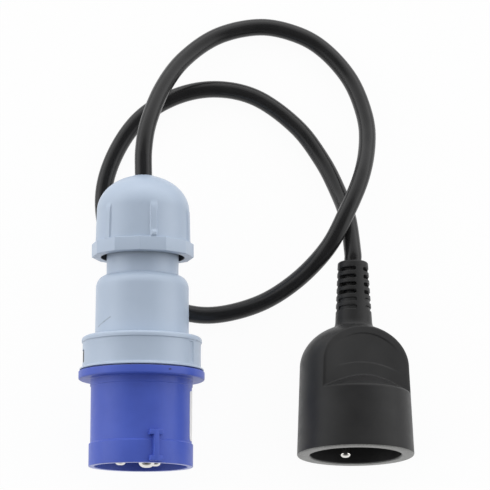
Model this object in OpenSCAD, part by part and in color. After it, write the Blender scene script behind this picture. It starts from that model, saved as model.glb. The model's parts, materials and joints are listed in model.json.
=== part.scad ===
// Adapter lead: three-pin industrial plug, short round cable, two-pole earthed socket
// Millimetres, +Z up, lying on the plane z = 0

/* [Shroud] */
// Outer diameter of the shroud tube
shroud_d = 43.9; // [42:0.1:44.4]
// Wall thickness of the shroud tube
shroud_wall = 1.8; // [1.2:0.1:2.2]
// Depth from the rim to the face of the pin carrier
shroud_depth = 37; // [35:0.5:38]
// Diameter of the thicker band at the rim
rim_band_d = 45.2; // [44.6:0.1:46]
// Length of the thicker band at the rim
rim_band_h = 10; // [6:0.5:14]
// Diameter of the step ring in front of the flange
step_ring_d = 44.5; // [44.4:0.1:46]
// Length of the step ring
step_ring_h = 3.1; // [1:0.1:6]
// Diameter of the flange
flange_d = 54.8; // [54.4:0.1:58]
// Thickness of the flange
flange_t = 3.8; // [2:0.1:5]
// Distance from the rim to the front of the flange
flange_at = 37.7; // [36:0.1:39]
// Wall thickness of the spigot behind the flange
spigot_wall = 1.8; // [1.2:0.1:2]

/* [Key rib] */
// Length of the key from the rim
key_l = 14; // [10:0.1:20]
// Height of the key above the rim band
key_h = 2.2; // [1:0.1:3]
// Width of the key's stem
key_w = 2.4; // [1.5:0.1:4]
// Width of the bars at the key's ends
key_bar_w = 5.8; // [5:0.1:8]
// Height of the bars at the key's ends
key_bar_h = 2.2; // [1:0.1:4]

/* [Plug pins] */
// Diameter of the circle that the pins stand on
pin_circle_d = 18.2; // [17:0.1:20]
// Diameter of the earth pin
earth_pin_d = 7; // [6:0.1:8]
// Diameter of the line and neutral pins
line_pin_d = 5; // [4:0.1:6]
// How far the earth pin's tip stands past the rim
earth_proud = 1; // [0:0.1:2]
// How far the line pins' tips lie inside the rim
line_inset = 1; // [0:0.1:6]
// Thickness of the pin carrier
carrier_t = 9.8; // [6:0.1:12]
// Length of the terminal barrels
barrel_l = 12; // [10:0.5:14]
// Diameter of the terminal screws
screw_d = 3; // [2.5:0.1:3.5]

/* [Rear housing] */
// Difference between the diameters of flange and skirt
skirt_inset = 3.4; // [3:0.1:4]
// Length of the skirt
skirt_h = 14.8; // [13:0.1:18]
// Difference between the diameters of skirt and rear bead
bead_step = 0.9; // [0.4:0.1:1.4]
// Length of the bead
bead_h = 2.7; // [1.5:0.1:4]
// Radius of the bead's rear edge
bead_round = 1.5; // [0.5:0.1:2]
// Difference between the diameters of flange and front lip
lip_inset = 0.8; // [0.2:0.1:1.6]
// Length of the lip
lip_h = 1; // [0.6:0.1:2]
// Radius of the hollow between lip and skirt
lip_fillet = 1; // [0.4:0.1:1.2]
// Diameter of the body at the skirt
body_front_d = 40.8; // [40:0.1:44]
// Diameter of the body at the shoulder
body_rear_d = 40.5; // [39:0.1:42]
// Length of the body behind the skirt
body_l = 26.9; // [24:0.1:32]
// Length of the shoulder's curve
shoulder_h = 5.4; // [2:0.1:8]
// Diameter of the neck
neck_d = 31.4; // [29.6:0.1:32]
// Length of the neck
neck_l = 22.3; // [16:0.1:24]
// Wall thickness of the housing
housing_wall = 2.4; // [1.6:0.1:3]

/* [Release latch] */
// Angle of the latch from the key
latch_angle = -102; // [-150:1:-40]
// Width of the latch window
latch_w = 9; // [7:0.1:11]
// Height of the latch window
latch_h = 5.6; // [4.5:0.1:6.5]
// Inward travel of the latch
latch_travel = 0.8; // [0.4:0.1:0.9]

/* [Gland nut] */
// Width of the twelve-sided collar across its corners
collar_d = 44.6; // [43:0.1:48]
// Height of the collar
collar_h = 6.1; // [4:0.1:9]
// Gap from the housing's shoulder to the collar
collar_gap = 8.4; // [5:0.1:10]
// Diameter of the nut above the collar
nut_front_d = 41.3; // [40:0.1:42]
// Diameter of the nut where the dome starts
nut_rear_d = 40.5; // [38:0.1:40.6]
// Length of the nut's straight side
nut_side_h = 14.3; // [12:0.1:16]
// Height of the dome
nut_dome_h = 16; // [14:0.1:18]
// Number of grip ribs
nut_ribs = 6; // [4:1:8]
// Width of a grip rib
nut_rib_w = 3; // [2:0.1:4]
// Height of a grip rib above the nut
nut_rib_h = 0.7; // [0.3:0.1:1]
// Angle of the first grip rib from the key
nut_angle = -3; // [-30:1:30]
// Angle of the collar's first corner from the key
collar_angle = 11; // [0:1:29]
// Thickness of the thrust washer
washer_t = 1.5; // [1:0.1:2]
// Number of fingers on the clamp cage
cage_fingers = 8; // [6:1:12]

/* [Cable] */
// Diameter of the cable sheath
cable_d = 7.6; // [7:0.1:8.4]
// Diameter of an insulated core
core_d = 2.8; // [2.2:0.1:3]

/* [Socket body] */
// Diameter of the socket at its rim
socket_rim_d = 50.8; // [49:0.1:54]
// Diameter of the socket where the dome starts
socket_grip_d = 47.6; // [45:0.1:49]
// Length from the rim to the start of the dome
socket_cone_l = 38.6; // [36:0.1:44]
// Height of the dome
socket_dome_h = 19.3; // [17:0.1:22]
// Diameter of the recess
recess_d = 39.5; // [38:0.1:42]
// Depth of the recess
recess_depth = 15; // [13:0.5:16]
// Width of the bevel round the recess
recess_edge = 1.4; // [0.5:0.1:2]
// Thickness across the two grip flats
grip_t = 24.2; // [23.6:0.1:28]
// Distance from the rim to the foot of the grip flats
grip_at = 27.2; // [26:0.1:30]
// Rise of the wall that closes each grip flat
grip_wall_rise = 6.2; // [3:0.1:8]
// Height of the raised panel on each grip flat
panel_h = 0.4; // [0.2:0.1:0.8]

/* [Strain relief] */
// Length of the sleeve outside the socket
relief_l = 29.4; // [26:0.1:36]
// Diameter of the sleeve at the socket
relief_base_d = 16.4; // [15:0.1:17]
// Diameter of the sleeve at its free end
relief_end_d = 13.3; // [11.6:0.1:14]
// Number of rows of slots
slot_rows = 6; // [4:1:6]
// Number of rows that are cut deep
slot_deep_rows = 4; // [2:1:4]
// Distance between rows
slot_pitch = 3.5; // [3:0.1:3.8]
// Height of a slot
slot_h = 1.6; // [1:0.1:2]
// Angle from the grip flat to the middle of a slot
slot_turn = 49; // [46:1:50]
// Arc of a slot in degrees
slot_arc = 70; // [40:1:78]
// Depth of a shallow slot
slot_shallow = 0.6; // [0.3:0.1:1]

/* [Socket contacts] */
// Distance between the two line holes
line_spacing = 19; // [18:0.1:20]
// Diameter of the line holes
line_hole_d = 5.4; // [5:0.1:5.6]
// Thickness of the recess floor
face_t = 3; // [2:0.1:4]
// Diameter of the socket's earth pin
socket_earth_d = 4.8; // [4:0.1:5]
// Distance of the earth pin from the socket's axis
socket_earth_offset = 10; // [9.6:0.1:11]
// How far the earth pin's tip lies inside the rim
socket_earth_inset = 1; // [0:0.1:4]
// Outer diameter of a female contact
contact_d = 7.2; // [6.6:0.1:7.6]
// Length of a female contact
contact_l = 11; // [9:0.1:12]
// Sideways travel of the shutter
shutter_travel = 6; // [5.6:0.1:6.2]

/* [Placement] */
// Left-right place of the plug's rim
plug_x = -45.5; // [-60:0.1:-40]
// Place of the plug's rim along its length
plug_y = -63.2; // [-70:0.1:-55]
// Rise of the plug's gland end in degrees
plug_pitch = 2.4; // [1.6:0.1:3]
// Sideways lean of the plug in degrees
plug_yaw = 0.2; // [-2:0.1:2]
// Turn of the key to the right of the top in degrees
plug_roll = 18; // [-45:1:45]
// Left-right place of the socket's rim
socket_x = 47.4; // [42:0.1:60]
// Place of the socket's rim along its length
socket_y = -58.3; // [-66:0.1:-50]
// Sideways lean of the socket in degrees
socket_yaw = 0.3; // [-2:0.1:2]
// Turn of the grip flat to the right of the top in degrees
socket_roll = 24; // [-45:1:45]

/* [Hidden] */
$fn = 96;

// Clearances: fixed pieces, pins in their holes and the step of their shanks,
// pieces that move, and the cable in its holes
fit = 0.1;
pin_fit = 0.05;
shank_step = 0.4;
running = 0.3;
cable_gap = 0.2;
// Small broken edges and the depth that joined shapes reach into each other
edge = 0.5;
sink = 0.5;
past = 1;

// Colours
blue = [0.24, 0.30, 0.70];
grey = [0.71, 0.77, 0.83];
black = [0.07, 0.07, 0.08];
dark = [0.16, 0.17, 0.20];
nickel = [0.78, 0.78, 0.76];
brass = [0.80, 0.66, 0.34];
rubber = [0.15, 0.15, 0.16];

// Stations along the plug's axis, measured from the rim
shroud_r = shroud_d / 2;
bore_r = shroud_r - shroud_wall;
flange_back = flange_at + flange_t;
skirt_d = flange_d - skirt_inset;
bead_d = skirt_d + bead_step;
lip_d = flange_d - lip_inset;
ledge_t = 2;
ledge_w = 2;
ledge_step = 1.2;
ledge_back = shroud_depth + ledge_step;
carrier_back = ledge_back + carrier_t;
spigot_r = bore_r + spigot_wall;
spigot_end = carrier_back - fit;
barrel_end = carrier_back + barrel_l;
skirt_end = flange_back + skirt_h;
body_end = skirt_end + body_l;
neck_end = body_end + neck_l;
collar_at = body_end + collar_gap;
collar_end = collar_at + collar_h;
dome_at = collar_end + nut_side_h;
nut_end = dome_at + nut_dome_h;
cable_r = cable_d / 2;
core_r = core_d / 2;
pin_r = pin_circle_d / 2;
line_angles = [-120, 120];

// Start of the key behind the rim, and the flat left on the shoulder
key_at = 0.6;
shoulder_flat = 0.2;
shoulder_w = (body_rear_d - neck_d) / 2 - shoulder_flat;

// Pin tips, terminal barrels and the way the cores lie in the cable
pin_tip_round = 0.75;
barrel_step = 0.8;
barrel_wall = 2.4;
wire_hole_l = 9;
core_pack = 1.22;
core_ring_r = core_r * core_pack;

// Latch pocket in the skirt, from the spigot outwards
latch_gap = 3.2;
latch_from = flange_back + latch_gap;
latch_ear = 1;
latch_sunk = 0.3;
latch_plate_t = 0.8;
latch_floor = spigot_r + fit;
latch_inner = latch_floor + latch_travel + fit;
latch_ear_r = latch_inner + latch_plate_t + fit;

// Shallow groove on the other side of the skirt
groove_angle = 40;
groove_w = 3.4;
groove_deep = 0.4;

// Gland stack, from the neck's mouth to the nut's inner seat
seal_wall = 5.5;
seal_r = cable_r + cable_gap + seal_wall;
seal_seat = 4;
seal_ledge = 1.5;
cage_base_h = 2.2;
cage_l = 10.5;
cage_wall = 3.4;
cage_slit = 1.2;
cage_inner_r = seal_r + running;
cage_outer_r = cage_inner_r + cage_wall;
cage_tip_wall = 1.7;
cage_tip_r = cage_inner_r + cage_tip_wall;
cage_end = neck_end + cage_l;
washer_at = cage_end + fit;
washer_r = cage_tip_r - running;
nut_seat = washer_at + washer_t + fit;
nut_bore_r = neck_d / 2 + running;
nut_mouth_r = cable_r + 2 * running;
nut_lip_h = 3;
nut_seat_w = 2;
nut_under_wall = 2.5;
nut_under_h = 3;
collar_bevel = 0.6;
rib_root = 0.7;
rib_foot = rib_root * nut_rear_d / 2;
rib_over = 1.6;
rib_end = dome_at + rib_over;
nub_w = 2;
nub_l = 2.6;
nub_h = 0.4;
dome_angle = 72;
sheath_in = 5;
sheath_start = neck_end - sheath_in;

// Stations along the socket's axis, measured from the rim
recess_r = recess_d / 2;
socket_rim_r = socket_rim_d / 2;
socket_grip_r = socket_grip_d / 2;
flat_at = grip_t / 2;
shutter_at = recess_depth + face_t;
shutter_deep = 6.5;
block_floor = 2.5;
pocket_end = shutter_at + shutter_deep;
block_end = pocket_end + block_floor;
tower_wall = 1.6;
tower_r = contact_d / 2 + tower_wall;
contact_at = pocket_end + running;
contact_end = contact_at + contact_l;
tower_end = contact_end - fit;
cavity_n = tower_r + running;
cavity_u = line_spacing / 2 + tower_r + running;
cavity_room = 6;
cavity_end = tower_end + cavity_room;
relief_r = relief_base_d / 2;
relief_flange_t = 2;
relief_flange_w = 1.8;
relief_room = 10;
relief_seat = cavity_end + relief_room;
relief_round = 1;
relief_core_wall = 0.6;
rim_round = 1;
slot_first = 4;
socket_end = socket_cone_l + socket_dome_h * sqrt(1 - pow(relief_r / socket_grip_r, 2));
relief_end = socket_end + relief_l;
sheath_out = 1.5;
sheath_end = relief_seat - relief_flange_t - sheath_out;

// Raised panel on a grip flat: arch above, flatter arc below
arch_r = 20.9;
arch_gap = 4.6;
arch_top = socket_end - arch_gap;
foot_r = 37.7;
foot_gap = 5.4;
foot_top = grip_at + grip_wall_rise + foot_gap;
panel_half_w = 15;

// Shutter: a wedge that covers each line hole, and its spring in a channel
wedge_over = 0.5;
wedge_side = 0.9;
wedge_n = line_hole_d / 2 + wedge_over;
wedge_w = line_hole_d + 2 * wedge_side;
shutter_u = line_spacing / 2 + wedge_w / 2;
shutter_bar_t = 2.4;
shutter_bar_at = 1.5;
peg_l = 2;
spring_room = 4.6;
spring_r = 1.6;
spring_wire_r = 0.25;
spring_turns = 6;
spring_rings = 60;
spring_sides = 6;
spring_from = wedge_n + fit + spring_wire_r;
spring_to = wedge_n + shutter_travel + spring_room - fit - spring_wire_r;
spring_deep = 3.4;
spring_z = shutter_at + spring_deep;

// Earth pin's round tip, head and strap, and the female contacts
socket_tip_round = 0.75;
strap_t = 1;
strap_w = 4;
strap_from = 2;
earth_head_step = 0.8;
earth_head_r = socket_earth_d / 2 + shank_step + earth_head_step;
earth_head_t = 1.9;
contact_bore = 0.7;
contact_bore_d = contact_bore * contact_d;
contact_tail = 3;
contact_slit = 0.8;

// Placement on the plane: the plug on its flange, the socket on its cone
plug_z = flange_d / 2 * cos(plug_pitch) - flange_at * sin(plug_pitch);
socket_pitch = atan((socket_rim_r - socket_grip_r) / socket_cone_l);
socket_z = socket_rim_r * cos(socket_pitch);

// Points of the plug's and the socket's axes in the part's frame
function plug_point(s) = [
    plug_x + s * cos(plug_pitch) * sin(plug_yaw),
    plug_y + s * cos(plug_pitch) * cos(plug_yaw),
    plug_z + s * sin(plug_pitch)
];
function socket_point(s) = [
    socket_x - s * cos(socket_pitch) * sin(socket_yaw),
    socket_y + s * cos(socket_pitch) * cos(socket_yaw),
    socket_z - s * sin(socket_pitch)
];

// Route of the cable between the two ends
cord_straight = 12;
relief_straight = 5;
cord_route = [
    [-43, 90, 29], [-37, 107.5, 22], [-27.5, 123, 14], [-12.5, 135.5, 7.5], [6.5, 140.5, 4.5],
    [23.5, 137, 4], [36, 129, 4.5], [47, 115, 6.5], [53, 98, 11], [54, 83.5, 16],
    [51, 66.5, 23], [44, 49, 26.5], [35.5, 33.5, 24], [21.5, 20.5, 15], [4.5, 11.5, 8],
    [-16.5, 7.5, 4.5], [-35, 11.5, 4], [-49.5, 21.5, 4], [-60, 39, 4], [-64, 59.5, 4],
    [-60, 78.5, 4], [-49, 96.5, 4], [-33, 107.5, 4], [-14.5, 111.5, 4], [4.5, 107.5, 4],
    [22.5, 94, 4.5], [34, 78, 6], [41, 62.5, 10.5], [45, 49, 17]
];
cord_steps = 2;
cord_sides = 10;
core_rings = 12;
core_sides = 8;

// Curve and tube functions
function unit(v) = v / norm(v);
function bow(c, a, b, from, to, steps) = [
    for (i = [0 : steps])
        let (t = from + (to - from) * i / steps)
            c + [a * cos(t), b * sin(t)]
];
function blend(p, q, r, s, t) = 0.5 * (2 * q + (r - p) * t
    + (2 * p - 5 * q + 4 * r - s) * t * t + (3 * q - p - 3 * r + s) * t * t * t);
function smooth(p, steps) = let (last = len(p) - 1) concat(
    [for (i = [0 : last - 1]) for (k = [0 : steps - 1])
        blend(p[max(i - 1, 0)], p[i], p[i + 1], p[min(i + 2, last)], k / steps)],
    [p[last]]);
function heading(p, i) = unit(p[min(i + 1, len(p) - 1)] - p[max(i - 1, 0)]);
function ring(p, i, r, sides, across) =
    let (t = heading(p, i), side = unit(cross(t, across)), up = cross(t, side))
        [for (k = [0 : sides - 1])
            p[i] + r * (cos(360 * k / sides) * side + sin(360 * k / sides) * up)];
function ease(t) = t * t * (3 - 2 * t);
function held(t) = max(0, min(1, t));

// Round tube swept along a list of points
module tube(p, r, sides, across) {
    last = len(p) - 1;
    polyhedron(
        points = [for (i = [0 : last]) each ring(p, i, r, sides, across)],
        faces = concat(
            [[for (k = [0 : sides - 1]) k]],
            [for (i = [0 : last - 1]) for (k = [0 : sides - 1])
                let (a = i * sides + k, b = i * sides + (k + 1) % sides)
                    each [[a, a + sides, b + sides], [a, b + sides, b]]],
            [[for (k = [sides - 1 : -1 : 0]) last * sides + k]]));
}

// Insulated core from a place in the cable's end to its terminal, both as [x, y, z]
module core(from, to) {
    tube([for (i = [0 : core_rings])
        let (t = i / core_rings, e = ease(held((i - 1) / (core_rings - 2))))
            [from.x + (to.x - from.x) * e, from.y + (to.y - from.y) * e,
             from.z + (to.z - from.z) * t]],
        core_r, core_sides, [1, 0, 0]);
}

// Place round the axis at an angle from the local top
function spoke(r, angle, z) = [r * sin(angle), -r * cos(angle), z];

module place_plug() {
    translate([plug_x, plug_y, plug_z])
        rotate([-90 + plug_pitch, 0, -plug_yaw])
            rotate(plug_roll)
                children();
}

module place_socket() {
    translate([socket_x, socket_y, socket_z])
        rotate([-90 - socket_pitch, 0, socket_yaw])
            rotate(socket_roll)
                children();
}

// Box that stands out from the axis towards the local top
module spoke_box(width, inner, outer, from, to) {
    translate([-width / 2, -outer, from])
        cube([width, outer - inner, to - from]);
}

// Blue front shell: shroud, rim band, step ring, flange, spigot and key
module plug_shroud() {
    band_r = rim_band_d / 2;
    step_r = step_ring_d / 2;
    flange_r = flange_d / 2;
    key_r = band_r + key_h;
    color(blue) place_plug() {
        rotate_extrude() polygon([
            [bore_r + edge, 0], [band_r - edge, 0], [band_r, edge],
            [band_r, rim_band_h - edge], [shroud_r, rim_band_h + edge],
            [shroud_r, flange_at - step_ring_h], [step_r, flange_at - step_ring_h + edge / 2],
            [step_r, flange_at], [flange_r - edge, flange_at], [flange_r, flange_at + edge],
            [flange_r, flange_back], [spigot_r, flange_back], [spigot_r, spigot_end],
            [bore_r, spigot_end], [bore_r, ledge_back], [bore_r - ledge_w, ledge_back],
            [bore_r - ledge_w, ledge_back - ledge_t], [bore_r, ledge_back - ledge_t],
            [bore_r, edge]
        ]);
        intersection() {
            cylinder(r = key_r, h = key_l);
            union() {
                spoke_box(key_w, bore_r + sink, key_r + past, key_at, key_l);
                spoke_box(key_bar_w, bore_r + sink, key_r + past, key_at, key_at + key_bar_h);
                spoke_box(key_bar_w, bore_r + sink, key_r + past, key_l - key_bar_h, key_l);
            }
        }
    }
}

// Insulating disc that the pins stand in
module pin_carrier() {
    color(dark) place_plug() difference() {
        union() {
            translate([0, 0, ledge_back]) cylinder(r = bore_r - fit, h = carrier_t);
            translate([0, 0, shroud_depth])
                cylinder(r = bore_r - ledge_w - fit, h = ledge_back - shroud_depth + sink);
        }
        pin_hole(0, earth_pin_d / 2);
        for (angle = line_angles) pin_hole(angle, line_pin_d / 2);
    }
}

module pin_hole(angle, r) {
    translate(spoke(pin_r, angle, shroud_depth - past))
        cylinder(r = r + shank_step + pin_fit, h = carrier_t + ledge_back - shroud_depth + 2 * past);
}

// Turned pin with a round-edged tip and a terminal barrel behind the carrier
module turned_pin(angle, d, tip) {
    r = d / 2;
    tip_r = r * pin_tip_round;
    barrel_r = terminal_r(d);
    color(nickel) place_plug() rotate(angle) translate([0, -pin_r, 0]) difference() {
        rotate_extrude() polygon(concat(
            [[0, tip]],
            bow([r - tip_r, tip + tip_r], tip_r, tip_r, -90, 0, 8),
            [[r, shroud_depth], [r + shank_step, shroud_depth],
             [r + shank_step, carrier_back + pin_fit], [barrel_r, carrier_back + pin_fit],
             [barrel_r, barrel_end - edge],
             [barrel_r - edge, barrel_end], [0, barrel_end]]));
        translate([0, 0, barrel_end - wire_hole_l])
            cylinder(r = core_r, h = wire_hole_l + past);
        translate([0, 0, barrel_end - barrel_l / 2]) rotate([90, 0, 0])
            cylinder(r = screw_d / 2 + pin_fit, h = barrel_r + past);
    }
}

function terminal_r(d) = max(d / 2 + shank_step + barrel_step, core_r + barrel_wall);

module plug_earth_pin() {
    turned_pin(0, earth_pin_d, -earth_proud);
}

module plug_line_pin() {
    turned_pin(line_angles[0], line_pin_d, line_inset);
}

module plug_neutral_pin() {
    turned_pin(line_angles[1], line_pin_d, line_inset);
}

// Slotted grub screws of the three barrels
module terminal_screws() {
    color(nickel) place_plug() {
        terminal_screw(0, terminal_r(earth_pin_d));
        for (angle = line_angles) terminal_screw(angle, terminal_r(line_pin_d));
    }
}

module terminal_screw(angle, barrel_r) {
    slot_w = 0.6;
    slot_deep = 0.8;
    head = 0.6;
    rotate(angle) translate([0, -pin_r, barrel_end - barrel_l / 2]) rotate([90, 0, 0])
        difference() {
            translate([0, 0, core_r]) cylinder(d = screw_d, h = barrel_r + head - core_r);
            translate([-screw_d, -slot_w / 2, barrel_r + head - slot_deep])
                cube([2 * screw_d, slot_w, slot_deep + past]);
        }
}

// Grey housing: skirt with lip and bead, tapered body, shoulder and neck
module rear_housing() {
    lip_r = lip_d / 2;
    skirt_r = skirt_d / 2;
    bead_r = bead_d / 2;
    front_r = body_front_d / 2;
    rear_r = body_rear_d / 2;
    neck_r = neck_d / 2;
    inner_r = rear_r - housing_wall;
    socket_r = spigot_r + fit;
    seat_r = seal_r + fit;
    color(grey) place_plug() difference() {
        rotate_extrude() polygon(concat(
            [[socket_r, flange_back], [lip_r, flange_back], [lip_r, flange_back + lip_h]],
            bow([skirt_r + lip_fillet, flange_back + lip_h + lip_fillet],
                lip_fillet, lip_fillet, -90, -180, 6),
            [[skirt_r, skirt_end - bead_h], [bead_r, skirt_end - bead_h + edge]],
            bow([bead_r - bead_round, skirt_end - bead_round], bead_round, bead_round, 0, 90, 8),
            [[front_r, skirt_end]],
            bow([rear_r - shoulder_w, body_end - shoulder_h], shoulder_w, shoulder_h, 0, 90, 10),
            [[neck_r, body_end], [neck_r, neck_end - edge], [neck_r - edge, neck_end],
             [seat_r, neck_end], [seat_r, neck_end - seal_seat],
             [seat_r - seal_ledge, neck_end - seal_seat], [seat_r - seal_ledge, body_end - housing_wall],
             [inner_r, body_end - housing_wall - shoulder_h], [inner_r, carrier_back],
             [socket_r, carrier_back]]));
        rotate(latch_angle) {
            spoke_box(latch_w, latch_floor, skirt_r + past, latch_from, latch_from + latch_h);
            spoke_box(latch_w + 2 * latch_ear, latch_floor, latch_ear_r,
                latch_from, latch_from + latch_h);
        }
        rotate(groove_angle)
            spoke_box(groove_w, skirt_r - groove_deep, skirt_r + past,
                flange_back + lip_h + lip_fillet + edge, skirt_end - bead_h - edge);
    }
}

// Sprung release button with two ears behind the window
module release_latch() {
    face_r = skirt_d / 2 - latch_sunk;
    ear_w = latch_w + 2 * latch_ear - 2 * running;
    color(dark) place_plug() rotate(latch_angle) {
        spoke_box(ear_w, latch_inner, latch_inner + latch_plate_t,
            latch_from + running, latch_from + latch_h - running);
        spoke_box(latch_w - 2 * running, latch_inner, face_r,
            latch_from + running, latch_from + latch_h - running);
    }
}

// Outer outline of the nut from the collar to the mouth, grown by a height
function nut_side(grow) = concat(
    [[nut_front_d / 2 + grow, collar_at + edge]],
    bow([0, dome_at], nut_rear_d / 2 + grow, nut_dome_h + grow, 0, dome_angle, 16));

// Domed nut with a twelve-sided collar and grip ribs
module gland_nut() {
    under_r = nut_front_d / 2 - nut_under_wall;
    bevel = collar_bevel;
    color(grey) place_plug() difference() {
        union() {
            rotate_extrude() polygon(concat(
                [[0, collar_at + edge]], nut_side(0),
                [[nut_mouth_r + edge, nut_end - edge / 2], [0, nut_end - edge / 2]]));
            intersection() {
                rotate(collar_angle - 90) translate([0, 0, collar_at])
                    cylinder(d = collar_d, h = collar_h, $fn = 12);
                rotate_extrude() polygon([
                    [0, collar_at], [collar_d / 2 - bevel, collar_at],
                    [collar_d / 2 + edge, collar_at + bevel + edge],
                    [collar_d / 2 + edge, collar_end - bevel - edge],
                    [collar_d / 2 - bevel, collar_end], [0, collar_end]
                ]);
            }
            intersection() {
                rotate_extrude() polygon(concat(
                    [[0, collar_at + edge]], nut_side(nut_rib_h), [[0, nut_end - edge]]));
                for (i = [0 : nut_ribs - 1]) rotate(nut_angle + i * 360 / nut_ribs)
                    spoke_box(nut_rib_w, rib_foot, nut_front_d, collar_end - sink, rib_end);
            }
            rotate(nut_angle) spoke_box(nub_w, rib_foot, nut_front_d / 2 + nut_rib_h + nub_h,
                collar_end - sink, collar_end + nub_l);
        }
        rotate_extrude() polygon([
            [0, collar_at - past], [under_r, collar_at - past], [under_r, collar_at + nut_under_h],
            [nut_bore_r, collar_at + nut_under_h], [nut_bore_r, neck_end + cage_base_h],
            [washer_r + running, washer_at], [washer_r + running, nut_seat],
            [washer_r - nut_seat_w, nut_seat], [nut_mouth_r, nut_end - nut_lip_h],
            [nut_mouth_r, nut_end + past], [0, nut_end + past]
        ]);
    }
}

// Thrust washer between the cage and the nut
module gland_washer() {
    color(dark) place_plug() translate([0, 0, washer_at]) difference() {
        cylinder(r = washer_r, h = washer_t);
        translate([0, 0, -past]) cylinder(r = nut_mouth_r, h = washer_t + 2 * past);
    }
}

// Ring of tapered fingers that close on the seal
module clamp_cage() {
    color(dark) place_plug() difference() {
        rotate_extrude() polygon([
            [cage_inner_r, neck_end], [cage_outer_r, neck_end],
            [cage_outer_r, neck_end + cage_base_h], [cage_tip_r, cage_end], [cage_inner_r, cage_end]
        ]);
        for (i = [0 : cage_fingers - 1]) rotate((i + 0.5) * 360 / cage_fingers)
            spoke_box(cage_slit, cage_inner_r - past, cage_outer_r + past,
                neck_end + cage_base_h, cage_end + past);
    }
}

// Rubber sleeve round the cable
module gland_seal() {
    seal_at = neck_end - seal_seat;
    color(rubber) place_plug() translate([0, 0, seal_at]) difference() {
        cylinder(r = seal_r, h = cage_end - seal_at);
        translate([0, 0, -past])
            cylinder(r = cable_r + cable_gap, h = cage_end - seal_at + 2 * past);
    }
}

// Cores in the plug, from the cable's end to the barrels
module plug_core(angle) {
    place_plug() core(
        spoke(core_ring_r, angle, sheath_start - fit),
        spoke(pin_r, angle, barrel_end + fit));
}

module plug_brown_core() {
    color("saddlebrown") plug_core(line_angles[0]);
}

module plug_blue_core() {
    color("royalblue") plug_core(line_angles[1]);
}

module plug_earth_core() {
    color("yellowgreen") plug_core(0);
}

// Sheathed cable from the gland to the strain relief
module cord() {
    route = concat(
        [plug_point(sheath_start), plug_point(cage_end), plug_point(nut_end),
         plug_point(nut_end + cord_straight)],
        cord_route,
        [socket_point(relief_end + relief_straight), socket_point(relief_end),
         socket_point((relief_end + socket_end) / 2), socket_point(sheath_end)]);
    color(black) tube(smooth(route, cord_steps), cable_r, cord_sides, [0, 0, 1]);
}

// Black body: cone, dome, two grip flats with raised panels, recess and inner cavity
module socket_body() {
    hole_r = relief_r + pin_fit;
    cavity_r = relief_r + relief_flange_w + fit;
    color(black) place_socket() difference() {
        union() {
            difference() {
                rotate_extrude() polygon(concat(
                    [[0, 0]],
                    bow([socket_rim_r - rim_round - rim_round * tan(socket_pitch), rim_round],
                        rim_round, rim_round, -90, 0, 6),
                    bow([0, socket_cone_l], socket_grip_r, socket_dome_h, 0,
                        acos(relief_r / socket_grip_r), 18),
                    [[0, socket_end]]));
                for (turn = [0, 180]) rotate(turn) grip_cut();
            }
            for (turn = [0, 180]) rotate(turn) grip_panel();
        }
        rotate_extrude() polygon([
            [0, -past], [recess_r + recess_edge + past, -past], [recess_r, recess_edge],
            [recess_r, block_end], [0, block_end]
        ]);
        translate([-cavity_u, -cavity_n, block_end - past])
            cube([2 * cavity_u, 2 * cavity_n, cavity_end - block_end + past]);
        translate([-strap_w / 2 - running, 0, block_end - past])
            cube([strap_w + 2 * running, socket_earth_offset + strap_w / 2 + running,
                strap_t + running + past]);
        translate([0, 0, cavity_end - past])
            cylinder(r = cavity_r, h = relief_seat - cavity_end + past);
        cylinder(r = hole_r, h = socket_end + past);
    }
}

// Material cut away beyond a grip flat, above its sloping wall
module grip_cut() {
    reach = socket_rim_d;
    slope = grip_wall_rise / (socket_grip_r - flat_at);
    intersection() {
        spoke_box(2 * reach, flat_at, reach, 0, socket_end + past);
        rotate_extrude() polygon([
            [0, grip_at + slope * socket_grip_r], [reach, grip_at - slope * (reach - socket_grip_r)],
            [reach, socket_end + past], [0, socket_end + past]
        ]);
    }
}

// Low raised panel on a grip flat: an arch above, a flatter arc below
module grip_panel() {
    intersection() {
        translate([0, -flat_at + sink, 0]) rotate([90, 0, 0])
            linear_extrude(panel_h + sink) difference() {
                intersection() {
                    translate([0, arch_top - arch_r]) circle(arch_r);
                    translate([-panel_half_w, 0]) square([2 * panel_half_w, socket_end]);
                }
                translate([0, foot_top - foot_r]) circle(foot_r);
            }
        cylinder(r = socket_grip_r - past, h = socket_end);
    }
}

// Slotted sleeve that guards the cable where it leaves the socket
module strain_relief() {
    flange_r = relief_r + relief_flange_w;
    end_r = relief_end_d / 2;
    color(black) place_socket() difference() {
        rotate_extrude() polygon(concat(
            [[0, relief_seat - relief_flange_t], [flange_r, relief_seat - relief_flange_t],
             [flange_r, relief_seat], [relief_r, relief_seat], [relief_r, socket_end]],
            bow([end_r - relief_round, relief_end - relief_round], relief_round, relief_round, 0, 90, 5),
            [[0, relief_end]]));
        translate([0, 0, relief_seat - relief_flange_t - past])
            cylinder(r = cable_r + cable_gap, h = relief_end);
        for (row = [0 : slot_rows - 1], turn = [0, 180], side = [-1, 1])
            let (z = relief_end - slot_first - row * slot_pitch,
                 outer = end_r + (relief_r - end_r) * (relief_end - z) / relief_l,
                 inner = row < slot_deep_rows
                     ? cable_r + cable_gap + relief_core_wall : outer - slot_shallow)
                rotate(turn + side * slot_turn - 90) relief_slot(inner, outer + past, z);
    }
}

// One slot, centred on the local X direction
module relief_slot(inner, outer, z) {
    translate([0, 0, z - slot_h / 2]) rotate(-slot_arc / 2)
        rotate_extrude(angle = slot_arc)
            translate([inner, 0]) square([outer - inner, slot_h]);
}

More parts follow.
